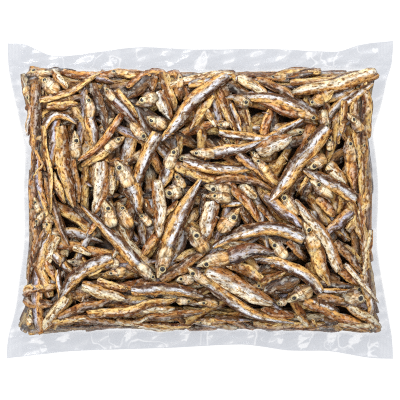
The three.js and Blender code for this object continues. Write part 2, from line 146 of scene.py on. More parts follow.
# Where the photograph shows each fish, in its pixels, lowest first: kind, front end, tail end, depth of the
# body, palette, and how far the middle bulges to the right of the line from the front to the tail, if it does.
# The depth is below 0 where the back is to the right of that line.
UNDER_FISH = [
    # along the far seal and down the left side
    ("head", 22, 71, 47, 74, 15, "cream"), ("head", 36, 75, 57, 91, 15, "cream"),
    ("body", 49, 67, 67, 88, -10, "cream"), ("whole", 106, 72, 153, 74, 11, "gold"),
    ("body", 95, 77, 113, 82, -8, "lilac"), ("body", 92, 84, 107, 130, -11, "dark"),
    ("body", 47, 107, 78, 104, -9, "gold"), ("head", 29, 104, 24, 86, -10, "gold"),
    ("body", 35, 102, 26, 135, 9, "silver", 2), ("body", 36, 140, 30, 180, 8, "brown"),
    ("body", 33, 178, 43, 164, -4, "gold"), ("head", 75, 131, 77, 158, 13, "cream"),
    ("body", 116, 90, 138, 118, -8, "gold"), ("body", 150, 78, 127, 98, -13, "dark"),
    ("body", 155, 73, 151, 92, -8, "brown"), ("body", 163, 71, 176, 112, -12, "gold"),
    ("whole", 179, 73, 181, 104, 10, "brown"), ("body", 196, 82, 215, 72, 12, "gold"),
    ("body", 212, 96, 190, 130, -10, "gold"), ("body", 47, 178, 69, 245, 9, "brown", 3),
    ("body", 52, 174, 65, 203, -9, "gold"), ("body", 73, 157, 79, 203, -8, "brown"),
    ("head", 33, 197, 40, 212, -10, "cream"), ("head", 34, 227, 44, 213, 10, "cream"),
    ("head", 43, 228, 53, 216, -10, "cream"), ("body", 112, 167, 107, 190, -8, "gold"),
    ("body", 97, 222, 89, 234, -6, "orange"), ("body", 111, 176, 111, 195, -12, "cream"),
    ("body", 106, 196, 126, 196, -5, "dark"), ("head", 138, 212, 151, 224, -9, "cream"),
    ("head", 175, 172, 183, 187, -10, "gold"), ("head", 162, 192, 181, 192, -15, "cream"),
    ("body", 164, 215, 178, 201, 6, "gold"),
    # towards the right
    ("body", 238, 76, 268, 96, 12, "cream"), ("body", 256, 79, 293, 98, -10, "brown", -2),
    ("whole", 267, 77, 314, 72, -10, "dark", 2), ("body", 246, 110, 249, 126, -5, "gold"),
    ("body", 231, 104, 242, 136, -6, "silver"), ("body", 222, 104, 237, 134, 6, "gold"),
    ("body", 206, 110, 216, 127, 6, "cream"), ("head", 217, 125, 229, 125, -8, "gold"),
    ("body", 345, 104, 375, 82, 8, "silver"), ("head", 329, 133, 322, 112, 12, "cream"),
    ("head", 331, 136, 329, 150, -8, "gold"), ("head", 366, 142, 362, 152, -8, "gold"),
    ("body", 360, 145, 362, 198, 9, "gold"), ("body", 359, 194, 366, 240, -8, "orange"),
    ("body", 350, 202, 362, 240, 8, "gold"), ("head", 250, 151, 258, 160, 8, "gold"),
    ("body", 240, 185, 256, 198, -11, "cream"), ("body", 221, 204, 242, 203, 7, "silver"),
    ("body", 204, 194, 200, 215, -6, "dark"), ("body", 240, 208, 248, 224, 6, "brown"),
    ("body", 258, 205, 278, 227, 7, "brown"), ("body", 328, 165, 345, 184, 14, "cream"),
    ("body", 318, 198, 334, 216, 11, "orange"), ("body", 308, 177, 296, 197, 6, "gold"),
    ("body", 310, 183, 301, 202, -8, "dark"), ("body", 288, 229, 303, 224, 7, "gold"),
    # the near left
    ("body", 45, 232, 27, 284, 10, "brown", 3), ("body", 50, 234, 39, 253, -5, "silver"),
    ("body", 57, 236, 43, 270, -10, "cream"), ("body", 74, 247, 92, 254, 7, "cream"),
    ("body", 54, 254, 72, 273, -8, "silver"), ("body", 46, 262, 56, 281, 8, "orange"),
    ("body", 88, 274, 105, 266, 8, "gold"), ("body", 21, 294, 57, 287, -12, "gold", -2),
    ("body", 22, 301, 54, 304, 10, "brown", 2), ("body", 58, 270, 60, 300, 6, "silver"),
    ("head", 30, 310, 27, 326, 10, "gold"), ("body", 58, 318, 114, 298, -10, "brown"),
    ("body", 83, 285, 125, 298, 13, "cream"), ("body", 157, 235, 142, 256, -9, "orange"),
    ("head", 107, 263, 118, 263, -10, "gold"), ("head", 105, 273, 125, 270, -9, "cream"),
    ("body", 121, 243, 113, 257, -7, "cream"), ("body", 98, 280, 128, 290, -8, "gold"),
    ("body", 61, 320, 86, 318, 5, "cream"), ("body", 71, 328, 92, 328, 6, "dark"),
    ("body", 122, 328, 139, 327, 5, "dark"), ("body", 122, 325, 151, 315, 6, "cream", 2),
    # the near right
    ("body", 142, 309, 175, 309, 10, "cream"), ("body", 148, 317, 205, 312, -10, "brown"),
    ("body", 150, 325, 191, 327, 7, "gold"), ("head", 175, 280, 192, 279, 12, "silver"),
    ("head", 268, 238, 285, 256, -12, "cream"), ("body", 288, 241, 308, 262, 9, "brown"),
    ("body", 232, 261, 264, 280, -12, "gold"), ("body", 221, 263, 242, 271, -5, "cream"),
    ("body", 261, 282, 285, 271, 9, "gold"), ("body", 264, 290, 300, 277, 14, "dark"),
    ("head", 276, 302, 285, 302, -9, "dark"), ("head", 197, 303, 217, 303, 10, "gold"),
    ("body", 215, 318, 253, 321, 6, "lilac"), ("whole", 195, 322, 226, 322, -9, "gold"),
    ("body", 263, 308, 294, 316, 11, "orange", 3), ("body", 335, 242, 364, 274, 9, "brown"),
    ("body", 339, 270, 359, 285, 9, "orange"), ("body", 320, 283, 354, 287, -8, "dark"),
    ("body", 322, 290, 349, 291, -6, "silver"), ("body", 317, 297, 348, 302, -11, "brown"),
    ("body", 372, 230, 364, 275, 10, "cream"), ("body", 312, 300, 342, 313, 8, "silver"),
    ("body", 304, 301, 370, 331, -10, "orange"), ("body", 349, 306, 386, 331, -9, "cream"),
    ("body", 351, 309, 365, 318, -4, "cream"), ("body", 299, 316, 311, 329, 7, "cream"),
    ("body", 312, 320, 320, 332, -5, "gold"), ("body", 326, 322, 339, 322, -10, "dark"),
]
UPPER_FISH = [
    # along the far seal and down the left side
    ("body", 39, 100, 102, 70, 8, "gold", 4), ("whole", 87, 95, 96, 149, 12, "silver"),
    ("body", 57, 119, 50, 170, -11, "lilac"), ("body", 43, 131, 77, 124, 8, "silver", -12),
    ("body", 43, 126, 51, 213, -6, "gold", -2), ("whole", 125, 137, 82, 166, -12, "gold"),
    ("body", 123, 113, 79, 161, 8, "orange", -5), ("whole", 104, 87, 137, 123, 9, "wine"),
    ("head", 136, 105, 157, 98, 15, "cream"), ("body", 157, 93, 171, 120, 13, "white"),
    ("head", 147, 117, 164, 127, -14, "cream"), ("head", 150, 143, 133, 126, -12, "orange"),
    ("body", 157, 134, 136, 187, 13, "silver"), ("whole", 178, 147, 160, 190, -13, "silver"),
    ("body", 157, 181, 159, 237, -13, "white", -2), ("body", 227, 75, 162, 141, 14, "silver", 3),
    ("body", 61, 127, 75, 207, 14, "gold", 3), ("body", 102, 163, 94, 213, 16, "white", -3),
    ("whole", 115, 161, 139, 214, -17, "silver", -5), ("head", 118, 201, 130, 226, 14, "orange"),
    ("head", 104, 199, 113, 225, 15, "cream"),
    # the middle
    ("body", 263, 136, 270, 109, -10, "orange"), ("whole", 319, 119, 252, 100, 11, "orange"),
    ("body", 303, 110, 225, 98, -10, "silver", 6),
    ("head", 252, 106, 237, 100, -13, "cream"), ("body", 219, 133, 305, 117, -9, "silver", 12),
    ("body", 258, 152, 291, 137, 16, "white"), ("whole", 190, 152, 262, 141, -12, "silver", 6),
    ("body", 176, 166, 228, 180, 11, "gold", 3), ("body", 184, 162, 251, 168, 11, "silver", 5),
    ("body", 238, 155, 277, 187, 10, "lilac"), ("whole", 252, 158, 280, 186, 11, "gold"),
    ("body", 224, 180, 260, 223, 10, "orange", -2), ("body", 215, 182, 272, 190, -9, "brown", -6),
    ("head", 204, 186, 229, 190, -14, "cream"), ("head", 205, 196, 230, 198, 12, "cream"),
    ("body", 212, 202, 204, 242, 17, "white"), ("head", 239, 208, 221, 231, 15, "cream"),
    ("head", 278, 190, 294, 214, 15, "gold"), ("body", 265, 196, 303, 228, -12, "lilac"),
    # the right side
    ("body", 326, 128, 269, 201, -16, "silver"), ("whole", 309, 106, 333, 90, 13, "gold"),
    ("body", 379, 70, 292, 93, 15, "cream", -2), ("body", 344, 101, 342, 134, 7, "gold"),
    ("head", 347, 113, 362, 130, -13, "cream"), ("whole", 349, 137, 354, 190, 13, "orange"),
    ("head", 305, 169, 323, 159, -14, "cream"), ("body", 356, 199, 303, 170, -13, "silver"),
    ("head", 309, 180, 329, 196, 12, "cream"), ("body", 351, 211, 324, 235, 12, "lilac"),
    ("body", 339, 270, 294, 200, -12, "white", 3), ("whole", 303, 222, 329, 285, 15, "gold"),
    # along the near seal
    ("body", 112, 257, 61, 298, -13, "silver", 7), ("body", 67, 298, 39, 334, 11, "cream"),
    ("body", 88, 314, 176, 299, -10, "gold", 2), ("head", 194, 301, 178, 301, -8, "cream"),
    ("body", 132, 290, 203, 296, 13, "silver", -3), ("body", 161, 279, 205, 252, 12, "brown"),
    ("whole", 157, 282, 82, 206, -12, "silver"),
    ("body", 303, 238, 213, 247, -14, "silver", 14), ("body", 320, 292, 251, 260, 12, "silver", 12),
    ("body", 206, 272, 272, 303, 19, "white"), ("whole", 188, 267, 294, 323, -12, "silver", 9),
    ("whole", 197, 266, 274, 252, -17, "wine", -6), ("head", 190, 227, 205, 249, 17, "dark"),
    ("head", 286, 302, 309, 289, 16, "cream"), ("body", 345, 264, 381, 304, 7, "white"),
    ("whole", 158, 277, 202, 177, -16, "silver", -2),
    ("head", 367, 300, 346, 296, -17, "cream"),
]
FILLER_PROUD = (-2.4, -0.4)  # how far fish may stand above the bag's plain form, on top and underneath
UNDER_PROUD = 0.6
UPPER_PROUD = 2.8
FISH_REACH = 135  # from the middle: no fish lies further out in the corners
EDGE_ROOM = 1.5  # between a shown fish and a seal

# ---- the fish that only fill ----
SEED = 29
CORE_DEPTH = 10.5  # how far the core, painted dark as shade, lies inside the film
FILLERS_ABOVE = 900  # tries
FILLERS_BELOW = 400
HOLLOWS_ABOVE = 420  # deepest places that get a fish of their own
HOLLOWS_BELOW = 210
HOLLOW_ROOM = 4  # cells round one of them that are not tried again
MOST_PUSHED = 1.7  # a fish that the film would push deeper than this into the pile is left out
WHOLE_SHARE = 0.14  # of the fish that fill; the others have no head
FILLER_LENGTH = (38, 76)
HOLLOW_LENGTH = (20, 44)
FILLER_DEPTH = (6.5, 11.5)
FILLER_PALETTES = ("gold", "brown", "silver", "dark", "orange", "lilac", "cream")
FILLER_SHARES = (0.2, 0.28, 0.13, 0.14, 0.12, 0.09, 0.04)
SIDE_SHARES = (0.32, 0.18, 0.12, 0.06, 0.16, 0.04, 0.12)
FILLER_MARGIN = (4, 2)  # between a fish that fills and a fold or a seal
FILLER_REACH = (130, 90)  # from the middle to the furthest places that are tried
DEEP_FROM = (1.6, 7.5)  # depths under the film between which a fish gets darker with painted shade
DEEP_SHADE = 0.45
BETWEEN_PAINTED_SHADE = 0.86  # painted shade of the fish that only fill, against the shown ones
EDGE_FISH = (42, 24)  # along each seal and along each fold, over the fish that only fill
EDGE_SPREAD = (118, 82)  # from the middle to the last of those
EDGE_SLANT = (0.24, 0.3)
EDGE_IN = ((2, 12), (5, 15))  # how far from the seal or the fold their middles lie
EDGE_MARGIN = ((2, 0.7), (1.5, 1.5))
EDGE_SHORTER = 0.8  # their length, as a share of other fillers
SIDE_LAYERS = ((5.4, 20, 27), (2.8, 24, 36))  # depth inside the film, fish along a fold, fish along a seal
LOW_PALETTES = ("gold", "cream", "orange", "silver")
LOW_LEVEL = (0.97, 0.985)  # places of the fish that lie just above a fold or a seal
CHIPS = 70
CHIP_LENGTH = (3, 7)
CHIP_DEPTH = (1.6, 3.4)
CHIP_REACH = (125, 92)
CHIP_MESH = (6, 7)  # rings, and points round each

# How fish lie inside the film along the folds and along the seals: half the bag's length that way, length as a
# share of other fillers, how far out their middles and ends lie, which of them are low ones, places of the
# others, slants of the others and of the low ones, how far both draw in near the corners, and how much deeper
# they may lie.
SideRow = namedtuple("SideRow", "half shorter middles ends every level slant low_slant draw low_draw deeper")
ALONG_FOLD = SideRow(HALF_LENGTH, 1, 0.9, 0.97, 5, (0.90, 0.965), 0.01, 0.01, 0.07, 0.09, 2.5)
ALONG_SEAL = SideRow(HALF_WIDTH, 0.8, 0.86, 0.89, 6, (0.86, 0.965), 0.07, 0.01, 0, 0, 0)

# ---- the film ----
FILM_GAP = 0.3
FILM_SAG = 4.5  # how far the film dips below the plain form between fish
FILM_STEPS = 120
FREE_FROM = (3.5, 6.5)  # gaps between film and fish over which the film starts to show as bare
FILM_ON_FISH = (0.975, 0.977, 0.98, 1)
# The bare film's tint runs from dull to bright by its painted light and shade.
FILM_DULL = (0.80, 0.812, 0.838, 1)  # of one face, where it is bare and turned away from the light: the dark end of its painted light and shade
FILM_BRIGHT = (0.945, 0.949, 0.96, 1)
FILM_MILK = (0.93, 0.94, 0.96, 1)
FILM_HAZE = 0.05  # share of light that a bare face scatters
FILM_MIRROR = 1.1  # times one face's mirror
BARE_MIRROR = 0.006  # what a bare face mirrors straight back
FOLD_CONTRAST = 1.3  # how strongly the painted light and shade of the bare film's folds show
BARE_LIGHT = 0.1  # painted light of the flat bare film, from dull to bright
FOLD_GLINT = (0.19, 0.025)  # slope at which a fold gets a painted glint, and the spread of it
CRIMP_FROM = 136.5  # from the middle to where the crimped corners begin
CRIMP_PITCH = 1.15
CRIMP_HEIGHT = 0.10
SEAL_STEP = 0.18
SEAL_LINES = (0.06, 0.15, 0.25)  # share of the fin's width, from the seal
BODY_COLUMNS, BODY_ROWS = 216, 150
FIN_COLUMNS, FIN_ROWS = 540, 28  # of the finer sheet that each fin is
CORE_COLUMNS, CORE_ROWS = 90, 60
CREASES = [  # direction in degrees, distance apart and slope of the folds in the fins
    (101, 7, 0.16), (79, 9.5, 0.16), (63, 13, 0.16), (119, 11, 0.16), (21, 21, 0.12), (156, 17, 0.12),
]

# ---- the light ----
AMBIENT = (0.68, 0.46)  # at the horizon, and straight above
FLOOR_GLOW = 0.95
FLOOR_SIDE = 8  # metres
FLOOR_DROP = 0.0004  # metres that the floor lies below the bag
LIGHTS = [  # name, azimuth, elevation, distance and size in metres, power
    ("key", 122, 46, 1.6, (0.72, 0.60), 20),
    ("right_fill", 15, 40, 1.6, (0.60, 0.60), 5.5),
    ("near_fill", 262, 38, 1.6, (0.70, 0.50), 5),
    ("left_fill", 196, 36, 1.6, (0.50, 0.60), 4.5),
    ("far_fill", 68, 38, 1.6, (0.60, 0.50), 4),
]

CELL = 0.8  # of the height maps
REACH = (152, 126)  # of the height maps, from the middle

# One round of laying fish: the pile they come down on, the bundle that takes them, the source of chance, and
# how many rings along each fish and points round it.
Round = namedtuple("Round", "pile bundle rng rings sides")


def along(points, at):
    """A smooth curve through hand-set points, read at many places."""
    x, y = np.array(points, float).T
    last = len(x) - 1
    nodes = np.arange(last + 1)
    before = np.maximum(nodes - 1, 0)
    after = np.minimum(nodes + 1, last)
    slope = (y[after] - y[before]) / (x[after] - x[before])
    at = np.clip(at, x[0], x[-1])
    i = np.clip(np.searchsorted(x, at, side="right") - 1, 0, last - 1)
    h = x[i + 1] - x[i]
    t = (at - x[i]) / h
    rise = y[i + 1] - y[i]
    cubic = h * (slope[i] + slope[i + 1]) - 2 * rise
    square = 3 * rise - h * (2 * slope[i] + slope[i + 1])
    return y[i] + t * (h * slope[i] + t * (square + t * cubic))


def resample(at, places, rows):
    """Points or directions that are known at some places, read at others."""
    return np.stack([np.interp(at, places, rows[:, k]) for k in range(3)], -1)


def mix(a, b, share):
    return a + (b - a) * share


def smoothstep(low, high, value):
    t = np.clip((value - low) / (high - low), 0, 1)
    return t * t * (3 - 2 * t)


def line(value, at, width):
    """1 on a line and 0 away from it."""
    return np.exp(-(((value - at) / width) ** 2))


def lines(value, marks):
    """Several lines at once. Each mark is a strength, a place and a width."""
    return sum(strength * line(value, at, width) for strength, at, width in marks)


def unit(vectors):
    return vectors / np.maximum(np.linalg.norm(vectors, axis=-1, keepdims=True), 1e-9)


# ---- the bag's form ----
def place_of(across, up):
    """Where a place of the bag lies. across and up run from -1 to 1 in the body, and up goes on to -2 and 2 in
    the fins."""
    inside = np.clip(up, -1, 1)
    out = np.abs(up) - np.abs(inside)
    far = up > 0
    row = mix(HALF_LENGTH * inside, np.where(far, along(FAR_EDGE, 0.0), along(NEAR_EDGE, 0.0)), out)
    x = mix(along(LEFT_FOLD, row), along(RIGHT_FOLD, row), (across + 1) / 2)
    seal = np.where(far, along(FAR_SEAL, x), along(NEAR_SEAL, x))
    edge = np.where(far, along(FAR_EDGE, x), along(NEAR_EDGE, x))
    body = mix(along(NEAR_SEAL, x), along(FAR_SEAL, x), (inside + 1) / 2)
    return x, np.where(out > 0, mix(seal, edge, out), body)


def place_at(x, y):
    """The place of the bag, across and up, that lies at x, y."""
    up = 2 * (y - along(NEAR_SEAL, x)) / (along(FAR_SEAL, x) - along(NEAR_SEAL, x)) - 1
    left = along(LEFT_FOLD, y)
    across = 2 * (x - left) / (along(RIGHT_FOLD, y) - left) - 1
    return np.clip(across, -1, 1), np.clip(up, -1, 1)


def faces_of(across, up):
    """The height of the film's upper and lower side, before the fish press it out."""
    end = np.minimum(1, np.abs(up))
    out = np.maximum(0, np.abs(up) - 1)
    seam = mix(SEAL_HEIGHT, CORNER_HEIGHT, np.abs(across) ** 4)
    middle = mix(FOLD_HEIGHT, seam, end ** 3)
    side = (1 - np.abs(across) ** SIDE_SWELL[0]) ** SIDE_SWELL[1]
    full = side * (1 - end ** SEAL_SWELL[0]) ** SEAL_SWELL[1]
    wave = FIN_WAVE * out * np.sin(across * FIN_WAVES + np.where(up > 0, *FIN_PHASES)) * (1 - across ** 8)
    top = mix(middle, PACK_HEIGHT, full) + wave
    bottom = middle * (1 - np.minimum(1, FLAT_SHARE * full) ** 1.4) + wave
    return top, np.maximum(0, bottom)


def point_on(across, up, side):
    """A point of the plain form: side is 0 for the upper face and 1 for the lower."""
    x, y = place_of(across, up)
    return np.stack([x, y, faces_of(across, up)[side]], -1)


def outward_at(across, up, side):
    """Which way the plain form faces, away from the bag."""
    step = 0.004
    left, right = np.maximum(across - step, -1), np.minimum(across + step, 1)
    near, far = np.maximum(up - step, -1), np.minimum(up + step, 1)
    over = point_on(right, up, side) - point_on(left, up, side)
    on = point_on(across, far, side) - point_on(across, near, side)
    normal = unit(np.cross(over, on))
    return -normal if side else normal


def from_photo(px, py):
    """A pixel on the table, for a fish in the upper part of the bag: nearer the camera things look larger."""
    scale = MM_PER_PIXEL * (CAMERA_HEIGHT - SHOWN_HEIGHT) / (CAMERA_HEIGHT - SEAL_HEIGHT)
    return np.array([(px - PHOTO_MIDDLE) * scale, (PHOTO_MIDDLE - py) * scale])


def linear(colour):
    """sRGB from 0 to 255 as linear light."""
    c = np.array(colour, float) / 255
    return np.where(c <= 0.04045, c / 12.92, ((c + 0.055) / 1.055) ** 2.4)


# ---- chance ----
def wobble(rng, places, knots):
    """A smooth random curve from -1 to 1, read at places from 0 to 1."""
    heights = rng.uniform(-1, 1, knots + 2)
    return along(list(zip(np.linspace(0, 1, knots + 2), heights)), places)


def wobble_sheet(rng, rows, columns, row_knots, column_knots):
    """A smooth random sheet from -1 to 1 that closes on itself across its columns."""
    heights = rng.uniform(-1, 1, (row_knots + 2, column_knots))
    heights = np.concatenate([heights, heights[:, :1]], 1)
    at = np.linspace(0, 1, heights.shape[1])
    wide = np.array([along(list(zip(at, row)), columns) for row in heights]).T
    at = np.linspace(0, 1, heights.shape[0])
    return np.array([along(list(zip(at, column)), rows) for column in wide]).T


# ---- height maps ----
grid_x = np.arange(-REACH[0], REACH[0] + CELL, CELL)
grid_y = np.arange(-REACH[1], REACH[1] + CELL, CELL)


def cell_at(x, y):
    i = np.clip(np.round((y + REACH[1]) / CELL).astype(int), 0, len(grid_y) - 1)
    j = np.clip(np.round((x + REACH[0]) / CELL).astype(int), 0, len(grid_x) - 1)
    return i, j


def between(heights, i, j, s, t):
    """A height between four cells: s is the share of the way along a row, and t across the rows."""
    low = mix(heights[i, j], heights[i, j + 1], s)
    return mix(low, mix(heights[i + 1, j], heights[i + 1, j + 1], s), t)


def read(heights, x, y):
    """A height map between its cells."""
    u = np.clip((x + REACH[0]) / CELL, 0, len(grid_x) - 1.001)
    v = np.clip((y + REACH[1]) / CELL, 0, len(grid_y) - 1.001)
    j, i = u.astype(int), v.astype(int)
    return between(heights, i, j, u - j, v - i)


def noise_at(x, y, size, seed):
    """Smooth random heights from -1 to 1 whose lumps are about size wide."""
    shape = (int(2 * REACH[1] / size) + 4, int(2 * REACH[0] / size) + 4)
    values = np.random.default_rng(seed).uniform(-1, 1, shape)
    u = (x + REACH[0]) / size + 1
    v = (y + REACH[1]) / size + 1
    j = np.clip(u.astype(int), 0, shape[1] - 2)
    i = np.clip(v.astype(int), 0, shape[0] - 2)
    return between(values, i, j, smoothstep(0, 1, u - j), smoothstep(0, 1, v - i))


def neighbour_mean(heights):
    mean = heights.copy()
    mean[1:-1, 1:-1] = (heights[:-2, 1:-1] + heights[2:, 1:-1] + heights[1:-1, :-2] + heights[1:-1, 2:]) / 4
    return mean


def blur(heights, times):
    for _ in range(times):
        heights = (heights + neighbour_mean(heights)) / 2
    return heights


class Pile:
    """What lies under one side of the film so far. The heights of the underside are kept upside down."""

    def __init__(self, side):
        self.side = side
        self.sign = -1 if side else 1
        across, up = place_at(*np.meshgrid(grid_x, grid_y))
        self.skin = self.sign * faces_of(across, up)[side]
        self.top = self.skin - CORE_DEPTH
        self.inward = 1 - np.maximum(np.abs(across), np.abs(up))
        self.room = smoothstep(0, 0.12, self.inward)

    def settle(self, x, y, aside, half_depth, half_thick, proud):
        """The height of a stiff fish's middle line when it comes down on the pile and is kept under the film,
        and how far the film pushes it down into the pile."""
        over = np.array([-0.8, -0.4, 0, 0.4, 0.8])
        px = x[:, None] + aside[:, :1] * over * half_depth[:, None]
        py = y[:, None] + aside[:, 1:2] * over * half_depth[:, None]
        need = (read(self.top, px, py) + half_thick[:, None] * np.sqrt(1 - over ** 2)).max(1)
        at = np.linspace(-1, 1, len(x))
        stiff = np.polyval(np.polyfit(at, need, 2), at)
        stiff = stiff + np.quantile(need - stiff, 0.6)
        limit = read(self.skin, x, y) + proud * read(self.room, x, y) - half_thick
        height = np.minimum(stiff, limit)
        smooth = height.copy()
        smooth[1:-1] = (height[:-2] + 2 * height[1:-1] + height[2:]) / 4
        return smooth, float(np.mean(stiff - height))

    def cover(self, spine, aside, half_depth, half_thick):
        """Adds a fish, or anything with a middle line, to the height map."""
        fine = np.linspace(0, len(spine) - 1, len(spine) * 3)
        whole = np.arange(len(spine))
        middle = resample(fine, whole, spine)
        beside = resample(fine, whole, aside)
        depth = np.interp(fine, whole, half_depth)
        thick = np.interp(fine, whole, half_thick)
        for over in np.linspace(-0.94, 0.94, 13):
            p = middle + beside * (over * depth)[:, None]
            z = self.sign * p[:, 2] + thick * math.sqrt(1 - over * over)
            np.maximum.at(self.top, cell_at(p[:, 0], p[:, 1]), z)


# ---- meshes ----
class Bundle:
    """Meshes that become one piece. Each vertex has a colour and a share of the light that darkens that colour
    as painted shade, and each corner has a place along the skin and one in an atlas for baking."""

    def __init__(self, painted_tint=1.0):
        self.painted_tint = painted_tint
        self.points, self.tones, self.lit, self.faces = [], [], [], []
        self.count = 0
        self.members = 0

    def add(self, points, tones, lit, parts):
        """parts are (faces, skin UVs, atlas UVs in the member's own cell, material slot)."""
        for faces, skin, atlas, slot in parts:
            self.faces.append((faces + self.count, skin, atlas, slot, self.members))
        above_table = np.maximum(points[:, 2:], FILM_GAP)
        self.points.append(np.concatenate([points[:, :2], above_table], 1))
        self.tones.append(tones)
        # Painted shade: the whole bundle's share of the light is lowered by its tint.
        self.lit.append(lit * self.painted_tint)
        self.count += len(points)
        self.members += 1

    def build(self, name, materials):
        cells = math.ceil(math.sqrt(self.members))
        corners, skins, atlases, sizes, slots = [], [], [], [], []
        for faces, skin, atlas, slot, member in self.faces:
            corners.append(faces.ravel())
            skins.append(skin.reshape(-1, 2))
            cell = np.array([member % cells, member // cells])
            atlases.append((atlas.reshape(-1, 2) * 0.92 + 0.04 + cell) / cells)
            sizes.append(np.full(len(faces), faces.shape[1]))
            slots.append(np.full(len(faces), slot))
        return mesh_object(
            name, np.concatenate(self.points), np.concatenate(corners), np.concatenate(sizes), materials,
            slots=np.concatenate(slots), tones=np.concatenate(self.tones),
            shares={"lit": np.concatenate(self.lit)},
            uvs={"skin": np.concatenate(skins), "OFBake": np.concatenate(atlases)},
        )


def mesh_object(name, points, corners, sizes, materials, uvs, shares, slots=None, tones=None, rim=()):
    """A smooth mesh from points and faces in millimetres. An edge between two points of the rim stays sharp."""
    mesh = bpy.data.meshes.new(name)
    mesh.vertices.add(len(points))
    mesh.vertices.foreach_set("co", (points * METRES).astype(np.float32).ravel())
    mesh.loops.add(len(corners))
    mesh.loops.foreach_set("vertex_index", corners.astype(np.int32))
    mesh.polygons.add(len(sizes))
    starts = np.concatenate([[0], np.cumsum(sizes)[:-1]])
    mesh.polygons.foreach_set("loop_start", starts.astype(np.int32))
    mesh.polygons.foreach_set("loop_total", sizes.astype(np.int32))
    if slots is not None:
        mesh.polygons.foreach_set("material_index", slots.astype(np.int32))
    for title, uv in uvs.items():
        layer = mesh.uv_layers.new(name=title)
        layer.data.foreach_set("uv", uv.astype(np.float32).ravel())
    if tones is not None:
        attribute = mesh.attributes.new("tone", "FLOAT_COLOR", "POINT")
        attribute.data.foreach_set("color", tones.astype(np.float32).ravel())
    for title, values in shares.items():
        attribute = mesh.attributes.new(title, "FLOAT", "POINT")
        attribute.data.foreach_set("value", values.astype(np.float32))
    for material in materials:
        mesh.materials.append(material)
    mesh.update(calc_edges=True)
    mesh.validate()
    mesh.polygons.foreach_set("use_smooth", np.ones(len(mesh.polygons), bool))
    if len(rim):
        ends = np.empty(2 * len(mesh.edges), np.int32)
        mesh.edges.foreach_get("vertices", ends)
        sharp = np.isin(ends.reshape(-1, 2), rim).all(1)
        mesh.attributes.new("sharp_edge", "BOOLEAN", "EDGE").data.foreach_set("value", sharp)
    obj = bpy.data.objects.new(name, mesh)
    bpy.context.scene.collection.objects.link(obj)
    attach(obj, "root")
    return obj


def grid_faces(rows, columns, closed):
    """Quads of a grid of points, as point numbers, and the row and the column of each corner."""
    i, k = np.meshgrid(np.arange(rows - 1), np.arange(columns if closed else columns - 1), indexing="ij")
    i, k = i.ravel(), k.ravel()
    row = np.stack([i, i, i + 1, i + 1], 1)
    column = np.stack([k, k + 1, k + 1, k], 1)
    return row * columns + column % columns, row, column


# ---- one fish ----
def sections(kind, length, depth, rings):
    """For each ring its share of the length, its depth, its thickness, and where it lies in the head: from 0 at
    the snout to 1 at the gills, and more in the body."""
    share = np.linspace(0, 1, rings)
    if kind == "head":
        return share, along(LOOSE_DEPTH, share), along(LOOSE_THICK, share), share
    if kind == "body":
        return share, along(BODY_DEPTH, share), along(BODY_THICK, share), np.full(rings, 2.0)
    head = min(0.46, HEAD_LENGTH * depth / length)
    front = rings * 2 // 5
    in_head = np.linspace(0, 1, front)
    in_body = np.linspace(0, 1, rings - front + 1)[1:]
    share = np.concatenate([in_head * head, head + (1 - head) * (0.01 + 0.99 * in_body)])
    deep = np.concatenate([along(HEAD_DEPTH, in_head), along(TAIL_DEPTH, in_body)])
    thick = np.concatenate([along(HEAD_THICK, in_head), along(TAIL_THICK, in_body)])
    return share, deep, thick, np.concatenate([in_head, 1 + in_body])


def half_sizes(kind, length, depth, flat, rings, share):
    """A fish's half depth and half thickness at shares of its length."""
    at, deep, thick, _ = sections(kind, length, depth, rings)
    return np.interp(share, at, 0.5 * depth * deep), np.interp(share, at, 0.5 * depth * flat * thick)


def tinted(tone, colour, share):
    """A colour with a share of another, which is sRGB, mixed in at each point."""
    return mix(tone, linear(colour), share[..., None])


def body_tones(back, level, palette):
    """Back, side and belly, with a painted highlight as a bright line along the side, and thin dark lines."""
    dorsal, lateral, ventral = PALETTES[palette]
    tone = tinted(linear(lateral), dorsal, smoothstep(0.25, 0.5, level))
    tone = tinted(tone, ventral, smoothstep(-0.2, -0.4, level))
    # Painted highlight: a bright sheen line along the side.
    tone = tinted(tone, PAINTED_SHEEN, 0.35 * line(level, 0.16, 0.09))
    tone = tinted(tone, CREASE, lines(level, BODY_LINES))
    return tinted(tone, RIM, smoothstep(0.82, 0.99, np.abs(back)) * 0.85)


def head_tones(back, in_head, head_length, deep, palette, sheet, rng):
    """A socket round the eye, arcs of gill plates behind it with painted highlights, and a jaw line below.
    Lengths are in depths.
    """
    over = (in_head - EYE_AT) * head_length
    above = 0.5 * (back * deep[:, None] - EYE_UP)
    behind = smoothstep(-0.05, 0.15, over)
    patch = smoothstep(-0.1, 0.15, sheet(5, 12, 10))
    plate = tinted(linear(HEAD_SKIN), HEAD_GOLD, rng.uniform(0.6, 1.0) * patch)
    plate = mix(plate, linear(PALETTES[palette][1]), 0.12)
    plate = tinted(plate, HEAD_GOLD, smoothstep(0.4, 0.7, np.abs(back)) * 0.8)
    plate = tinted(plate, CREASE, smoothstep(0.62, 0.84, np.abs(back)) * 0.9)
    from_eye = np.hypot(over, above) + 0.1 * sheet(3, 7, 6)
    gills = behind * lines(from_eye, ((0.8, 0.46, 0.035), (1.2, rng.uniform(0.72, 0.88), 0.04)))
    jaw = line(above + 0.22, -0.28 * in_head, 0.04) * (in_head < 0.55)
    plate = tinted(plate, CREASE, np.minimum(0.85, 0.6 * gills + 0.8 * jaw))
    # Painted highlights: bright arcs on the gill plates.
    plate = tinted(plate, PAINTED_SHEEN, 0.3 * (behind * lines(from_eye, PAINTED_GILL_SHINE)))
    return tinted(plate, SOCKET, line(from_eye, 0.24, 0.04) * 0.9)


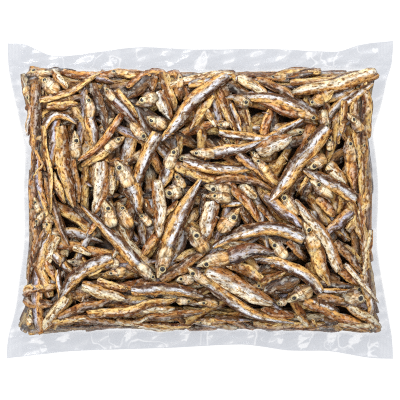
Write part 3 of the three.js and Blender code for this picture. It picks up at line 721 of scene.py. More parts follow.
def skin_tones(back, in_head, head_length, deep, palette, rng):
    """Colours of the skin, and how broken it is. back is 1 along the back and -1 along the belly, in_head runs
    from 0 to 1 along the head, head_length is in depths of the body, and deep is the depth of each ring as a
    share of the body's."""
    at = np.linspace(0, 1, len(back))
    round_at = np.arange(back.shape[1]) / back.shape[1]
    short = in_head[-1] <= 1

    def sheet(knots_if_short, knots, knots_round):
        return wobble_sheet(rng, at, round_at, knots_if_short if short else knots, knots_round)

    blotch = sheet(3, 9, 6)
    drift = 0.16 * wobble(rng, at, 5)[:, None] + 0.12 * blotch
    tone = body_tones(back, back + drift, palette)
    in_head = in_head[:, None]
    head = in_head <= 1
    plate = head_tones(back, in_head, head_length, deep, palette, sheet, rng)
    if short:
        plate = tinted(plate, SOCKET, smoothstep(0.88, 1.0, in_head) * 0.75)
    tone = np.where(head[..., None], plate, tone)
    torn = smoothstep(0.1, 0.0, in_head - 1) * ~head
    tone = tinted(tone, PALETTES["dark"][0], torn * 0.85)
    grain = sheet(10, 36, 16)
    tone = tone * (1 + 0.14 * blotch + 0.2 * grain)[..., None]
    broken = np.where(head, 0.8, 1.0) * np.ones_like(back)
    return np.concatenate([tone, broken[..., None]], -1)


def light_at(points, pile):
    """Painted shade: what share of the light reaches points that lie deep under the film, kept in their colour.
    """
    depth = read(pile.skin, points[:, 0], points[:, 1]) - pile.sign * points[:, 2]
    room = read(pile.room, points[:, 0], points[:, 1])
    return 1 - DEEP_SHADE * smoothstep(*DEEP_FROM, depth) * room


def fish_axes(spine, outward, share, roll):
    """At each ring: its middle, which way the film lies, and the ways to the tail, the back and the flank."""
    at = np.linspace(0, 1, len(spine))
    centre = resample(share, at, spine)
    normal = unit(resample(share, at, outward))
    way = unit(np.gradient(centre, axis=0))
    normal = unit(normal - way * (normal * way).sum(-1, keepdims=True))
    aside = np.cross(normal, way)
    turn = roll[0] + roll[1] * (share - 0.5)
    backward = aside * np.cos(turn)[:, None] + normal * np.sin(turn)[:, None]
    upward = normal * np.cos(turn)[:, None] - aside * np.sin(turn)[:, None]
    return centre, normal, way, backward, upward


def fish_form(kind, depth, flat, cuts, angle, rng):
    """How far each point lies to the back, the flank and the tail, and the half thickness of each ring."""
    share, deep, thick, in_head = cuts
    loose = kind == "head"
    back, out = np.cos(angle), np.sin(angle)
    round_at = angle / (2 * np.pi)
    ragged = 1 + 0.07 * wobble(rng, share, 7) + 0.03 * wobble(rng, share, 19)
    if loose:
        ragged = 1 + 0.05 * wobble(rng, share, 3)
    half_depth = 0.5 * depth * deep * ragged
    half_thick = 0.5 * depth * flat * thick * (1 + 0.12 * wobble(rng, share, 2 if loose else 6))
    creases = sum(
        size * np.sin(n * angle[None, :] + rng.uniform(0, 6.3) + 2.2 * wobble(rng, share, 5)[:, None])
        for n, size in WRINKLES
    )
    creases = creases + 0.02 * wobble_sheet(rng, share, round_at, 6 if loose else 22, 7)
    groove = np.where(in_head > 1, 0.08, 0.0)[:, None] * line(back, 0.1, 0.16)
    gill = 0.05 * line(in_head, 0.93, 0.08)[:, None] * (1 - back ** 4)
    jaw = 0.04 * line(back, -0.5, 0.12) * (in_head < 0.6)[:, None]
    swell = (creases - groove + gill - jaw) * depth * np.minimum(1, deep[:, None] * 1.6)
    to_back = half_depth[:, None] * back + swell * back
    to_flank = half_thick[:, None] * out * (1 - 0.25 * np.maximum(0, -back)) + swell * out
    to_tail = np.zeros((len(share), len(angle)))
    if kind != "whole":
        broken = len(share) - 1 if loose else 0
        to_tail[broken] = 0.09 * depth * wobble(rng, round_at, 7)
    to_tail += 0.2 * depth * line(in_head, 0.98, 0.1)[:, None] * (1 - back ** 2)
    return to_back, to_flank, to_tail, half_thick


def fish_parts(ends, angle, length, depth, place):
    """Faces and UVs of a fish whose rings lie at the shares of its length that ends gives."""
    rows, sides = len(ends), len(angle)
    faces, row, column = grid_faces(rows, sides, True)
    girth = math.pi * 0.5 * depth
    skin = np.stack([ends[row] * length, column / sides * girth], -1) + place
    atlas = np.stack([row / (rows - 1), column / sides * 0.86], -1)
    last = np.array([np.arange(sides)[::-1], (rows - 1) * sides + np.arange(sides)])
    spot = np.stack([0.5 + 0.01 * np.cos(angle), 0.94 + 0.01 * np.sin(angle)], -1)
    shape = (2, sides, 2)
    return [(faces, skin, atlas, 0), (last, np.broadcast_to(place, shape), np.broadcast_to(spot, shape), 0)]


def grow(job, kind, spine, outward, depth, flat, roll, palette):
    """Adds one dried fish, or its head or headless body, lying on its side along the spine."""
    rng, rings, sides = job.rng, job.rings, job.sides
    length = np.linalg.norm(np.diff(spine, axis=0), axis=1).sum()
    cuts = sections(kind, length, depth, rings)
    share, deep, _, in_head = cuts
    centre, normal, way, backward, upward = fish_axes(spine, outward, share, roll)
    angle = 2 * np.pi * np.arange(sides) / sides
    y, z, jag, half_thick = fish_form(kind, depth, flat, cuts, angle, rng)
    points = (centre[:, None] + backward[:, None] * y[..., None] + upward[:, None] * z[..., None]
              + way[:, None] * jag[..., None])
    head_length = HEAD_LENGTH if kind == "whole" else length / depth
    tones = skin_tones(np.tile(np.cos(angle), (rings, 1)), in_head, head_length, deep, palette, rng)

    # Each end closes with a ring half as wide and a last face. A broken end is blunt and shows the flesh.
    caps = []
    for end, outwards, broken in ((0, -1, "body"), (rings - 1, 1, "head")):
        inner = centre[end] + (points[end] - centre[end]) * 0.5
        inner = inner + way[end] * outwards * depth * (0.05 if kind == broken else 0.02)
        shade = tones[end].mean(0) * 0.5
        if kind == "body":
            shade = np.append(linear(FLESH) * rng.uniform(0.4, 0.9), 1)
        caps.append((inner, np.tile(shade if kind == broken else tones[end].mean(0), (sides, 1))))
    all_points = np.concatenate([caps[0][0], points.reshape(-1, 3), caps[1][0]])
    all_tones = np.concatenate([caps[0][1], tones.reshape(-1, 4), caps[1][1]])
    place = np.array([rng.uniform(0, 900), rng.uniform(0, 900)])
    parts = fish_parts(np.concatenate([[share[0]], share, [share[-1]]]), angle, length, depth, place)
    if kind != "body":
        ring = int(np.argmin(np.abs(in_head - EYE_AT)))
        shown = upward[ring] * np.sign((upward[ring] * normal[ring]).sum())
        middle = centre[ring] + shown * half_thick[ring] * 0.93 + backward[ring] * 0.5 * EYE_UP * depth
        radius = EYE_RADIUS * depth * rng.uniform(0.85, 1.1)
        axes = (way[ring], np.cross(shown, way[ring]), shown)
        eye_points, eye_parts = eyeball(middle, axes, radius, len(all_points), place)
        all_points = np.concatenate([all_points, eye_points])
        ring_tone = np.append(linear(EYE_RING) * rng.uniform(0.6, 1.0), 0)
        all_tones = np.concatenate([all_tones, np.tile(ring_tone, (len(eye_points), 1))])
        parts = parts + eye_parts
    job.bundle.add(all_points, all_tones, light_at(all_points, job.pile), parts)


def eyeball(middle, axes, radius, first, place):
    """A pale raised ring with a black dome in it. Rings are given by width and height, in radii."""
    segments = 12
    angle = 2 * np.pi * np.arange(segments) / segments
    way, beside, up = axes
    rim = [(1.12, -0.35), (1.0, 0.10), (0.88, 0.18), (0.74, 0.1)]
    dome = [(0.78, 0.06), (0.66, 0.2), (0.4, 0.3), (0.08, 0.34)]
    flat = np.cos(angle)[:, None] * way + np.sin(angle)[:, None] * beside
    points = [middle + flat * wide * radius + up * high * radius for wide, high in rim + dome]
    parts = []
    for number in (0, 1):
        faces, row, column = grid_faces(4, segments, True)
        faces = faces + first + number * 4 * segments
        uv = np.stack([0.1 + 0.2 * number + 0.15 * column / segments, 0.9 + 0.03 * row], -1)
        parts.append((faces, np.broadcast_to(place, uv.shape), uv, number))
    top = (first + 7 * segments + np.arange(segments))[None]
    spot = np.stack([0.7 + 0.01 * np.cos(angle), 0.94 + 0.01 * np.sin(angle)], -1)[None]
    parts.append((top, np.broadcast_to(place, spot.shape), spot, 1))
    return np.concatenate(points), parts


# ---- materials ----
def feed(tree, socket, value):
    """Links a node's output to a socket, or sets the socket to a plain value."""
    if isinstance(value, bpy.types.NodeSocket):
        tree.links.new(value, socket)
    else:
        socket.default_value = value


def new_material(name):
    material = bpy.data.materials.new(name)
    material.use_nodes = True
    material.node_tree.nodes.clear()
    return material, material.node_tree


def node(tree, kind, inputs=None, **settings):
    made = tree.nodes.new(kind)
    for name, value in settings.items():
        setattr(made, name, value)
    for name, value in (inputs or {}).items():
        feed(tree, made.inputs[name], value)
    return made


def surface(tree, shader):
    node(tree, "ShaderNodeOutputMaterial", {"Surface": shader})


def math_node(tree, operation, a, b, clamp=False):
    return node(tree, "ShaderNodeMath", {0: a, 1: b}, operation=operation, use_clamp=clamp).outputs[0]


def range_node(tree, value, low, high, to_low, to_high):
    inputs = {"Value": value, "From Min": low, "From Max": high, "To Min": to_low, "To Max": to_high}
    return node(tree, "ShaderNodeMapRange", inputs).outputs[0]


def mix_colour(tree, blend, factor, a, b):
    made = node(tree, "ShaderNodeMix", data_type="RGBA", blend_type=blend)
    for number, value in ((0, factor), (6, a), (7, b)):
        feed(tree, made.inputs[number], value)
    return made.outputs[2]


def share_node(tree, name):
    return node(tree, "ShaderNodeAttribute", attribute_name=name).outputs["Fac"]


def bump_node(tree, height, strength, distance):
    inputs = {"Height": height, "Strength": strength, "Distance": distance}
    return node(tree, "ShaderNodeBump", inputs).outputs[0]


def space_noise(tree, scale, detail):
    """Noise through space: scale is lumps a metre."""
    places = node(tree, "ShaderNodeTexCoord").outputs["Object"]
    return node(tree, "ShaderNodeTexNoise", {"Vector": places, "Scale": scale, "Detail": detail}).outputs[0]


def skin_noise(tree, scale, detail):
    """Noise along the skin: scale is cells a millimetre along and across."""
    uv = node(tree, "ShaderNodeUVMap", uv_map="skin").outputs[0]
    placed = node(tree, "ShaderNodeMapping", {"Vector": uv, "Scale": (scale[0], scale[1], 1)}).outputs[0]
    inputs = {"Vector": placed, "Scale": 1.0, "Detail": detail, "Roughness": 0.6}
    return node(tree, "ShaderNodeTexNoise", inputs, noise_dimensions="2D").outputs[0]


def ramp(tree, value, stops):
    """A colour ramp: stops are (position, linear colour)."""
    made = node(tree, "ShaderNodeValToRGB", {"Fac": value})
    elements = made.color_ramp.elements
    while len(elements) < len(stops):
        elements.new(0.5)
    for element, (position, colour) in zip(elements, stops):
        element.position = position
        element.color = (*colour, 1)
    return made.outputs[0]


def fish_material():
    """Dry skin: its vertex colours, streaked and cracked lengthwise, with dark specks and pale flakes, then
    darkened by the painted shade in the share lit.
    """
    material, tree = new_material("dried_fish_skin")
    skin = node(tree, "ShaderNodeAttribute", attribute_name="tone")
    tone, broken = skin.outputs["Color"], skin.outputs["Alpha"]
    lit = share_node(tree, "lit")
    streak = skin_noise(tree, (0.12, 0.56), 2.5)
    fine = skin_noise(tree, (0.3, 1.15), 1.5)
    speck = skin_noise(tree, (0.7, 0.9), 1)
    flake = skin_noise(tree, (0.2, 0.5), 2.5)
    shade = ramp(tree, streak, [(0.32, (0.38, 0.24, 0.13)), (0.41, (0.83, 0.61, 0.36)), (0.48, (1, 1, 1))])
    colour = mix_colour(tree, "MULTIPLY", broken, tone, shade)
    thin = ramp(tree, fine, [(0.34, (0.34, 0.22, 0.13)), (0.43, (1, 1, 1)), (0.66, (1.08, 1.08, 1.08))])
    colour = mix_colour(tree, "MULTIPLY", broken, colour, thin)
    flakes = range_node(tree, flake, 0.55, 0.68, 0.0, 0.38)
    colour = mix_colour(tree, "MIX", flakes, colour, (*linear(FLAKE), 1))
    specks = range_node(tree, speck, 0.75, 0.8, 0.0, 0.6)
    colour = mix_colour(tree, "MIX", specks, colour, (*linear(SPECK), 1))
    # Painted shade: the share lit darkens the colour, and further down it dims the skin's mirror too.
    colour = mix_colour(tree, "MULTIPLY", 1.0, colour, lit)
    height = math_node(tree, "ADD", streak, math_node(tree, "MULTIPLY", fine, 0.5))
    height = math_node(tree, "SUBTRACT", height, math_node(tree, "MULTIPLY", speck, 0.3))
    surface(tree, node(tree, "ShaderNodeBsdfPrincipled", {
        "Base Color": colour,
        "Roughness": range_node(tree, flake, 0.35, 0.7, 0.5, 0.3),
        "Specular IOR Level": math_node(tree, "MULTIPLY", lit, 0.24),
        "Normal": bump_node(tree, height, 0.9, 0.0017),
    }).outputs[0])
    return material


def eye_material():
    """A dried eye: a black dome, dull and slightly brown where it has dried."""
    material, tree = new_material("dried_eye")
    noise = space_noise(tree, 700.0, 2.0)
    dull = ramp(tree, noise, [(0, (0.006, 0.005, 0.006)), (1, (0.05, 0.04, 0.035))])
    rough = range_node(tree, noise, 0.3, 0.7, 0.18, 0.4)
    surface(tree, node(tree, "ShaderNodeBsdfPrincipled", {"Base Color": dull, "Roughness": rough}).outputs[0])
    return material


def core_material():
    """The inside of the heap, seen only between the fish, painted dark as shade."""
    material, tree = new_material("heap_inside_painted_shade")
    noise = space_noise(tree, 160.0, 5.0)
    colour = ramp(tree, noise, [(0.35, linear(CORE_PAINTED_SHADE[0])), (0.7, linear(CORE_PAINTED_SHADE[1]))])
    bump = bump_node(tree, noise, 0.8, 0.002)
    inputs = {"Base Color": colour, "Roughness": 0.6, "Normal": bump}
    surface(tree, node(tree, "ShaderNodeBsdfPrincipled", inputs).outputs[0])
    return material


def film_material():
    """Thin clear film. Where it clings to oily fish it hardly shows. Where it is bare it is a little milky, and
    its folds show grey and bright through painted light and shade in its tint."""
    material, tree = new_material("clear_film")
    bump = bump_node(tree, space_noise(tree, 60.0, 2.0), 0.15, 0.001)
    bare = share_node(tree, "bare")
    # Painted light and shade of the bare film, from dull to bright.
    painted_tint = mix_colour(tree, "MIX", share_node(tree, "painted_fold_light"), FILM_DULL, FILM_BRIGHT)
    painted_tint = mix_colour(tree, "MIX", bare, FILM_ON_FISH, painted_tint)
    clear = node(tree, "ShaderNodeBsdfTransparent", {"Color": painted_tint}).outputs[0]
    gloss = {"Color": (1, 1, 1, 1), "Roughness": 0.12, "Normal": bump}
    gloss = node(tree, "ShaderNodeBsdfGlossy", gloss).outputs[0]
    milky = node(tree, "ShaderNodeBsdfDiffuse", {"Color": FILM_MILK}).outputs[0]
    facing = node(tree, "ShaderNodeLayerWeight", {"Blend": 0.5, "Normal": bump}).outputs["Facing"]
    edge = math_node(tree, "MULTIPLY", math_node(tree, "POWER", facing, 5.0), 0.96)
    mirror = math_node(tree, "ADD", edge, math_node(tree, "MULTIPLY", bare, BARE_MIRROR))
    mirror = math_node(tree, "MULTIPLY", mirror, FILM_MIRROR, clamp=True)
    haze = math_node(tree, "MULTIPLY", bare, FILM_HAZE)
    opaque = math_node(tree, "ADD", mirror, haze, clamp=True)
    shiny = math_node(tree, "DIVIDE", mirror, math_node(tree, "MAXIMUM", opaque, 0.001))
    face = node(tree, "ShaderNodeMixShader", {0: shiny, 1: milky, 2: gloss}).outputs[0]
    surface(tree, node(tree, "ShaderNodeMixShader", {0: opaque, 1: clear, 2: face}).outputs[0])
    return material


# ---- the contents ----
def lay(job, kind, x, y, depth, palette, proud, most_pushed=math.inf):
    """Lays one fish on the pile along a line over the table, and adds it to the bundle. Its back lies to the
    left of the line, or to the right of it where depth is below 0. A fish that the film would push further than
    most_pushed into the pile is left out."""
    pile, rng = job.pile, job.rng
    turned = math.pi if depth < 0 else 0
    depth = abs(depth)
    share = np.linspace(0, 1, len(x))
    flat = rng.uniform(*FLATNESS)
    length = np.hypot(np.diff(x), np.diff(y)).sum()
    half_depth, half_thick = half_sizes(kind, length, depth, flat, job.rings, share)
    sway = 0.03 * length * wobble(rng, share, 3) * np.sin(np.pi * share)
    way = unit(np.stack([np.gradient(x), np.gradient(y)], -1))
    beside = np.stack([-way[:, 1], way[:, 0]], -1)
    x = x + sway * beside[:, 0]
    y = y + sway * beside[:, 1]
    height, pushed = pile.settle(x, y, beside, half_depth, half_thick, proud)
    if pushed > most_pushed:
        return
    spine = np.stack([x, y, pile.sign * height], -1)
    across, up = place_at(x, y)
    lean = outward_at(np.clip(across, -0.97, 0.97), np.clip(up, -0.97, 0.97), pile.side)
    outward = unit(lean * 0.55 + np.array([0, 0, pile.sign]) * 0.45)
    tilt = read(pile.top, x + beside[:, 0] * half_depth, y + beside[:, 1] * half_depth)
    tilt = tilt - read(pile.top, x - beside[:, 0] * half_depth, y - beside[:, 1] * half_depth)
    rest = pile.sign * 0.5 * float(np.clip(np.median(np.arctan2(tilt, 2 * half_depth)), -0.5, 0.5))
    roll = (turned + rest + rng.normal(0, 0.16), rng.normal(0, 0.35))
    grow(job, kind, spine, outward, depth, flat, roll, palette)
    pile.cover(spine, np.concatenate([beside, np.zeros((len(x), 1))], 1), half_depth, half_thick)


def lay_on_form(job, across, up, inset, depth, palette):
    """Lays a headless fish against the inside of the film along a line of places, where the side is steep."""
    pile, rng = job.pile, job.rng
    flat = rng.uniform(*FLATNESS)
    normal = outward_at(across, up, pile.side)
    spine = point_on(across, up, pile.side)
    length = np.linalg.norm(np.diff(spine, axis=0), axis=1).sum()
    share = np.linspace(0, 1, len(across))
    half_depth, half_thick = half_sizes("body", length, depth, flat, job.rings, share)
    spine = spine - normal * (inset + half_thick)[:, None]
    turned = math.pi if rng.random() < 0.5 else 0
    roll = (turned, rng.normal(0, 0.2))
    grow(job, "body", spine, normal, depth, flat, roll, palette)
    aside = np.cross(normal, unit(np.gradient(spine, axis=0)))
    pile.cover(spine, aside, half_depth, half_thick)


def shown_line(front_x, front_y, tail_x, tail_y, bow, count):
    """A fish's middle line on the table, from its place in the photograph."""
    share = np.linspace(0, 1, count)
    run = np.array([tail_x - front_x, tail_y - front_y], float)
    beside = np.array([-run[1], run[0]]) / np.linalg.norm(run)
    bulge = 4 * bow * share * (1 - share)
    px = front_x + run[0] * share + beside[0] * bulge
    py = front_y + run[1] * share + beside[1] * bulge
    return from_photo(px, py)


def shown_angles():
    """Where the photograph's fish lie on the table, and which way each points."""
    places, angles = [], []
    for _, x0, y0, x1, y1, *_ in UNDER_FISH + UPPER_FISH:
        places.append(from_photo((x0 + x1) / 2, (y0 + y1) / 2))
        angles.append(math.atan2(y0 - y1, x1 - x0))
    return np.array(places), np.array(angles)


def show(jobs, catalogue, proud):
    """Lays the fish that the photograph shows. jobs has a round for each kind."""
    for kind, x0, y0, x1, y1, wide, palette, *bow in catalogue:
        x, y = shown_line(x0, y0, x1, y1, sum(bow), jobs[kind].rings)
        depth = wide * MM_PER_PIXEL * (CAMERA_HEIGHT - SHOWN_HEIGHT) / (CAMERA_HEIGHT - SEAL_HEIGHT)
        room = EDGE_ROOM + abs(depth) * 0.4
        y = np.clip(y, along(NEAR_SEAL, x) + room, along(FAR_SEAL, x) - room)
        lay(jobs[kind], kind, x, y, depth, palette, proud)


def drop(job, kind, x, y, angle, length, margin, reach, proud, shares):
    """Lays one fish on the pile with its middle near x, y, unless it would get too short inside the margins or
    be pushed too deep. margin is its least distance from a fold and from a seal."""
    rng = job.rng
    share = np.linspace(0, 1, job.rings)
    bow = rng.normal(0, 0.05) * length * 4 * share * (1 - share)
    line_x = x + (share - 0.5) * length * math.cos(angle) - bow * math.sin(angle)
    line_y = y + (share - 0.5) * length * math.sin(angle) + bow * math.cos(angle)
    depth = rng.uniform(*FILLER_DEPTH) * rng.choice([-1, 1])
    from_fold, from_seal = (gap + 0.45 * abs(depth) for gap in margin)
    left = np.maximum(along(LEFT_FOLD, line_y) + from_fold, -reach)
    right = np.minimum(along(RIGHT_FOLD, line_y) - from_fold, reach)
    line_x = np.clip(line_x, left, right)
    line_y = np.clip(line_y, along(NEAR_SEAL, line_x) + from_seal, along(FAR_SEAL, line_x) - from_seal)
    if np.hypot(np.diff(line_x), np.diff(line_y)).sum() < 0.6 * length:
        return
    palette = rng.choice(FILLER_PALETTES, p=shares)
    lay(job, kind, line_x, line_y, depth, palette, proud, MOST_PUSHED)


def fill_at(job, x, y, known, length):
    """Lays one fish with its middle near x, y, mostly the way its shown neighbour lies."""
    rng = job.rng
    places, angles = known
    near = int(np.argmin(np.hypot(places[:, 0] - x, places[:, 1] - y)))
    angle = angles[near] + rng.normal(0, 0.32) + rng.choice([0, math.pi])
    kind = "whole" if rng.random() < WHOLE_SHARE else "body"
    reach = FISH_REACH - 6 - rng.uniform(0, 11)
    drop(job, kind, x, y, angle, length, FILLER_MARGIN, reach, FILLER_PROUD[job.pile.side], FILLER_SHARES)


def fill(job, count):
    """Lays fish at random under the shown ones."""
    known = shown_angles()
    for _ in range(count):
        x, y = (job.rng.uniform(-reach, reach) for reach in FILLER_REACH)
        fill_at(job, x, y, known, job.rng.uniform(*FILLER_LENGTH))


def fill_hollows(job, count):
    """Lays fish where the pile is still furthest under the film."""
    known = shown_angles()
    pile = job.pile
    open_cells = pile.inward > 0.07
    for _ in range(count):
        hollow = np.where(open_cells, blur(pile.skin - pile.top, 3), 0)
        i, j = np.unravel_index(int(np.argmax(hollow)), hollow.shape)
        rows, columns = (slice(max(0, k - HOLLOW_ROOM), k + HOLLOW_ROOM + 1) for k in (i, j))
        open_cells[rows, columns] = False
        fill_at(job, grid_x[j], grid_y[i], known, job.rng.uniform(*HOLLOW_LENGTH))


def fill_edges(job):
    """Lays headless fish along the seals and the folds, each at a slant of its own."""
    rng = job.rng
    for end in (-1, 1):
        for k in range(EDGE_FISH[0]):
            x = mix(-EDGE_SPREAD[0], EDGE_SPREAD[0], (k + rng.random()) / EDGE_FISH[0])
            seal = along(FAR_SEAL if end > 0 else NEAR_SEAL, x)
            angle = rng.normal(0, EDGE_SLANT[0]) + rng.choice([0, math.pi])
            length = EDGE_SHORTER * rng.uniform(*FILLER_LENGTH)
            y = seal - end * rng.uniform(*EDGE_IN[0])
            drop(job, "body", x, y, angle, length, EDGE_MARGIN[0], FISH_REACH - 8, UNDER_PROUD, SIDE_SHARES)
        for k in range(EDGE_FISH[1]):
            y = mix(-EDGE_SPREAD[1], EDGE_SPREAD[1], (k + rng.random()) / EDGE_FISH[1])
            fold = along(RIGHT_FOLD if end > 0 else LEFT_FOLD, y)
            angle = math.pi / 2 + rng.normal(0, EDGE_SLANT[1]) + rng.choice([0, math.pi])
            length = EDGE_SHORTER * rng.uniform(*FILLER_LENGTH)
            x = fold - end * rng.uniform(*EDGE_IN[1])
            reach = FISH_REACH - rng.uniform(6, 14)
            drop(job, "body", x, y, angle, length, EDGE_MARGIN[1], reach, UNDER_PROUD, SIDE_SHARES)


def fill_row(job, row, count, end, inset):
    """Lays headless fish inside the film along one fold or seal, where the form is too steep to drop them."""
    rng = job.rng
    share = np.linspace(0, 1, job.rings)
    for k in range(count):
        half = row.shorter * rng.uniform(*FILLER_LENGTH) / 2 / row.half
        middle = mix(-row.middles, row.middles, (k + rng.uniform(0.2, 0.8)) / count)
        middle = np.clip(middle, half - row.ends, row.ends - half)
        low = k % row.every == 0
        level = rng.uniform(*(LOW_LEVEL if low else row.level))
        level = level - (row.low_draw if low else row.draw) * smoothstep(0.35, 0.85, np.abs(middle))
        level = end * (level + rng.normal(0, row.low_slant if low else row.slant) * (share - 0.5))
        palette = rng.choice(LOW_PALETTES) if low else rng.choice(FILLER_PALETTES, p=SIDE_SHARES)
        level = np.clip(level, -0.99, 0.99)
        along_row = middle + half * (2 * share - 1)
        across, up = (level, along_row) if row is ALONG_FOLD else (along_row, level)
        deeper = rng.uniform(0, row.deeper) if row.deeper else 0
        lay_on_form(job, across, up, inset + deeper, rng.uniform(*FILLER_DEPTH), palette)


def fill_sides(job):
    """Lays fish along the folds and the seals, a deep layer and one nearer the film."""
    for inset, by_fold, by_seal in SIDE_LAYERS:
        for end in (-1, 1):
            fill_row(job, ALONG_FOLD, by_fold, end, inset)
            fill_row(job, ALONG_SEAL, by_seal, end, inset)


def crumbs(pile, rng):
    """Small chips of skin that lie on the fish."""
    job = Round(pile, Bundle(), rng, *CHIP_MESH)
    for _ in range(CHIPS):
        x, y = (rng.uniform(-reach, reach) for reach in CHIP_REACH)
        length, depth = rng.uniform(*CHIP_LENGTH), rng.uniform(*CHIP_DEPTH)
        angle = rng.uniform(0, 2 * math.pi)
        share = np.linspace(-0.5, 0.5, job.rings)
        line_x, line_y = x + share * length * math.cos(angle), y + share * length * math.sin(angle)
        lay(job, "body", line_x, line_y, depth, rng.choice(FILLER_PALETTES, p=FILLER_SHARES), UNDER_PROUD)
    return job.bundle


# ---- the film and the core ----
def closed_sheet(name, across, up, heights, material):
    """A closed skin over the bag's places. heights gives where they lie, the upper and the lower side, which
    meet at the border, and named shares for the material."""
    wide, deep = np.meshgrid(across, up)
    x, y, top, bottom, shares = heights(wide, deep)
    rows, columns = wide.shape
    border = np.zeros((rows, columns), bool)
    border[[0, -1]] = True
    border[:, [0, -1]] = True
    upper = np.arange(rows * columns).reshape(rows, columns)
    lower = upper.copy()
    lower[~border] = rows * columns + np.arange((~border).sum())
    top = np.where(border, (top + bottom) / 2, top)
    points = np.concatenate([
        np.stack([x, y, top], -1).reshape(-1, 3),
        np.stack([x, y, bottom], -1)[~border],
    ])
    faces, row, column = grid_faces(rows, columns, False)
    under = lower.ravel()[faces][:, ::-1]
    corners = np.concatenate([faces, under])
    uv = np.stack([across[column], up[row]], -1) * np.array([HALF_WIDTH, HALF_LENGTH])
    skin = np.concatenate([uv, uv[:, ::-1]])
    span = np.array([2 * HALF_WIDTH, 4 * HALF_LENGTH])
    half = uv / span * np.array([0.98, 0.49]) + np.array([0.5, 0.25])
    atlas = np.concatenate([half, half[:, ::-1] + np.array([0, 0.5])])
    return mesh_object(
        name, points, corners.ravel(), np.full(len(corners), 4), [material],
        uvs={"skin": skin.reshape(-1, 2), "OFBake": atlas.reshape(-1, 2)},
        shares={title: np.concatenate([share.ravel(), share[~border]]) for title, share in shares.items()},
        rim=upper[border],
    )


def core_heights(across, up):
    """The lumpy inside of the heap, well inside the film."""
    inner = across * 0.93, up * 0.91
    x, y = place_of(*inner)
    top, bottom = faces_of(*inner)
    full = np.sqrt((1 - across ** 4) * (1 - up ** 4))
    lump = 1.6 * noise_at(x, y, 11, 1) + noise_at(x, y, 5, 2)
    top = mix(FOLD_HEIGHT, top - CORE_DEPTH - 1 + lump, full)
    bottom = mix(FOLD_HEIGHT, bottom + CORE_DEPTH - 1 + lump * 0.5, full)
    return x, y, top, bottom, {}


def taut_film(pile):
    """How far the film stands above the plain form, stretched over the fish, and where it touches none."""
    x, y = np.meshgrid(grid_x, grid_y)
    left, right = along(LEFT_FOLD, y), along(RIGHT_FOLD, y)
    inside = (x > left) & (x < right) & (y > along(NEAR_SEAL, x)) & (y < along(FAR_SEAL, x))
    rise = np.where(inside, np.maximum(pile.top + FILM_GAP - pile.skin, -FILM_SAG), 0)
    taut = rise
    for _ in range(FILM_STEPS):
        taut = np.where(inside, np.maximum(rise, neighbour_mean(taut)), 0)
    free = smoothstep(*FREE_FROM, pile.skin + taut - pile.top)
    return blur(taut, 3), blur(np.where(inside, free, 1.0), 2)


def creases(x, y):
    """Straight folds that cross each other, so that flat facets lie between them."""
    height = 0
    for seed, (angle, pitch, slope) in enumerate(CREASES):
        a = math.radians(angle)
        bend = 0.25 * noise_at(x, y, 40, seed + 10)
        place = (x * math.cos(a) + y * math.sin(a)) / pitch + bend
        wave = np.sqrt((place - np.floor(place) - 0.5) ** 2 + 0.003) - 0.25
        height = height + wave * pitch * slope * (0.6 + 0.4 * noise_at(x, y, 25, seed + 20))
    return height


def glints(x, y, slope):
    """Painted glints on bare film, as where it turns to the light: thin curved veins, each beside a painted
    grey line, and bright facets.
    """
    form = noise_at(x, y, 11, 51) + 0.35 * noise_at(x, y, 5, 52)
    shown = smoothstep(-0.2, 0.3, noise_at(x, y, 19, 53))
    facet = 0.9 * smoothstep(0.5, 0.58, noise_at(x, y, 6.5, 54)) * smoothstep(0.02, 0.07, slope)
    return (line(form, 0.1, 0.055) - 0.3 * line(form, 0.24, 0.07)) * shown + facet


def film_light(x, y, across, up, crimp, pressed):
    """Painted light and shade of bare film: how bright it looks, from dull at 0, with painted glints, painted
    stripes on the crimped corners and darker lines where the seals are pressed. Its outer border stays dull.
    """
    slope = creases(x + 0.4, y - 0.2) - creases(x - 0.4, y + 0.2)
    # Painted light: brighter with the folds' slope one way, with a painted glint at one slope.
    turned = FOLD_CONTRAST * slope + line(slope, *FOLD_GLINT) + glints(x, y, slope)
    painted_fold_light = BARE_LIGHT + turned * (1 - 0.9 * crimp)
    painted_fold_light = painted_fold_light + 0.3 * crimp * np.sin(2 * np.pi * x / CRIMP_PITCH) - pressed
    border = np.minimum(1 - np.abs(across), (2 - np.abs(up)) * 0.1)
    return np.clip(painted_fold_light, 0, 1) * smoothstep(0.001, 0.008, border)


def film_heights(pile):
    """The form of the film over a pile, for closed_sheet."""
    taut, free = taut_film(pile)

    def heights(across, up):
        x, y = place_of(across, up)
        top, bottom = faces_of(across, up)
        out = np.maximum(0, np.abs(up) - 1)
        from_fold = 1 - np.abs(across)
        near_fold = smoothstep(0, 0.03, from_fold)
        near_seal = smoothstep(0, 0.03, 1 - np.minimum(1, np.abs(up)))
        top = top + read(taut, x, y) * near_fold * near_seal
        edge = np.maximum(smoothstep(0.16, 0.08, from_fold), smoothstep(0.045, 0.01, 1 - np.abs(up)))
        bare = np.where(out > 0, 1, read(free, x, y) * edge)
        crimp = smoothstep(CRIMP_FROM - 1.5, CRIMP_FROM, np.abs(x)) * smoothstep(0.02, 0.06, out)
        fin = smoothstep(0, 0.12, out) * (1 - 0.85 * crimp)
        margin = bare * near_seal * smoothstep(0, 0.02, from_fold) * (out == 0) * 0.5
        folds = creases(x, y)
        ribs = CRIMP_HEIGHT * np.sin(2 * np.pi * x / CRIMP_PITCH) * crimp
        pressed = sum(line(out, at, 0.03) for at in SEAL_LINES) * SEAL_STEP * (out > 0)
        fin_shift = folds * fin + ribs + pressed
        gap = FILM_GAP * smoothstep(0, 0.05, out) * smoothstep(0, 0.02, 2 - np.abs(up)) * near_fold
        # The share for the tint is the bare film's painted light and shade.
        shares = {"bare": bare, "painted_fold_light": film_light(x, y, across, up, crimp, pressed)}
        return x, y, top + fin_shift + folds * margin + gap / 2, bottom + fin_shift - gap / 2, shares
    return heights


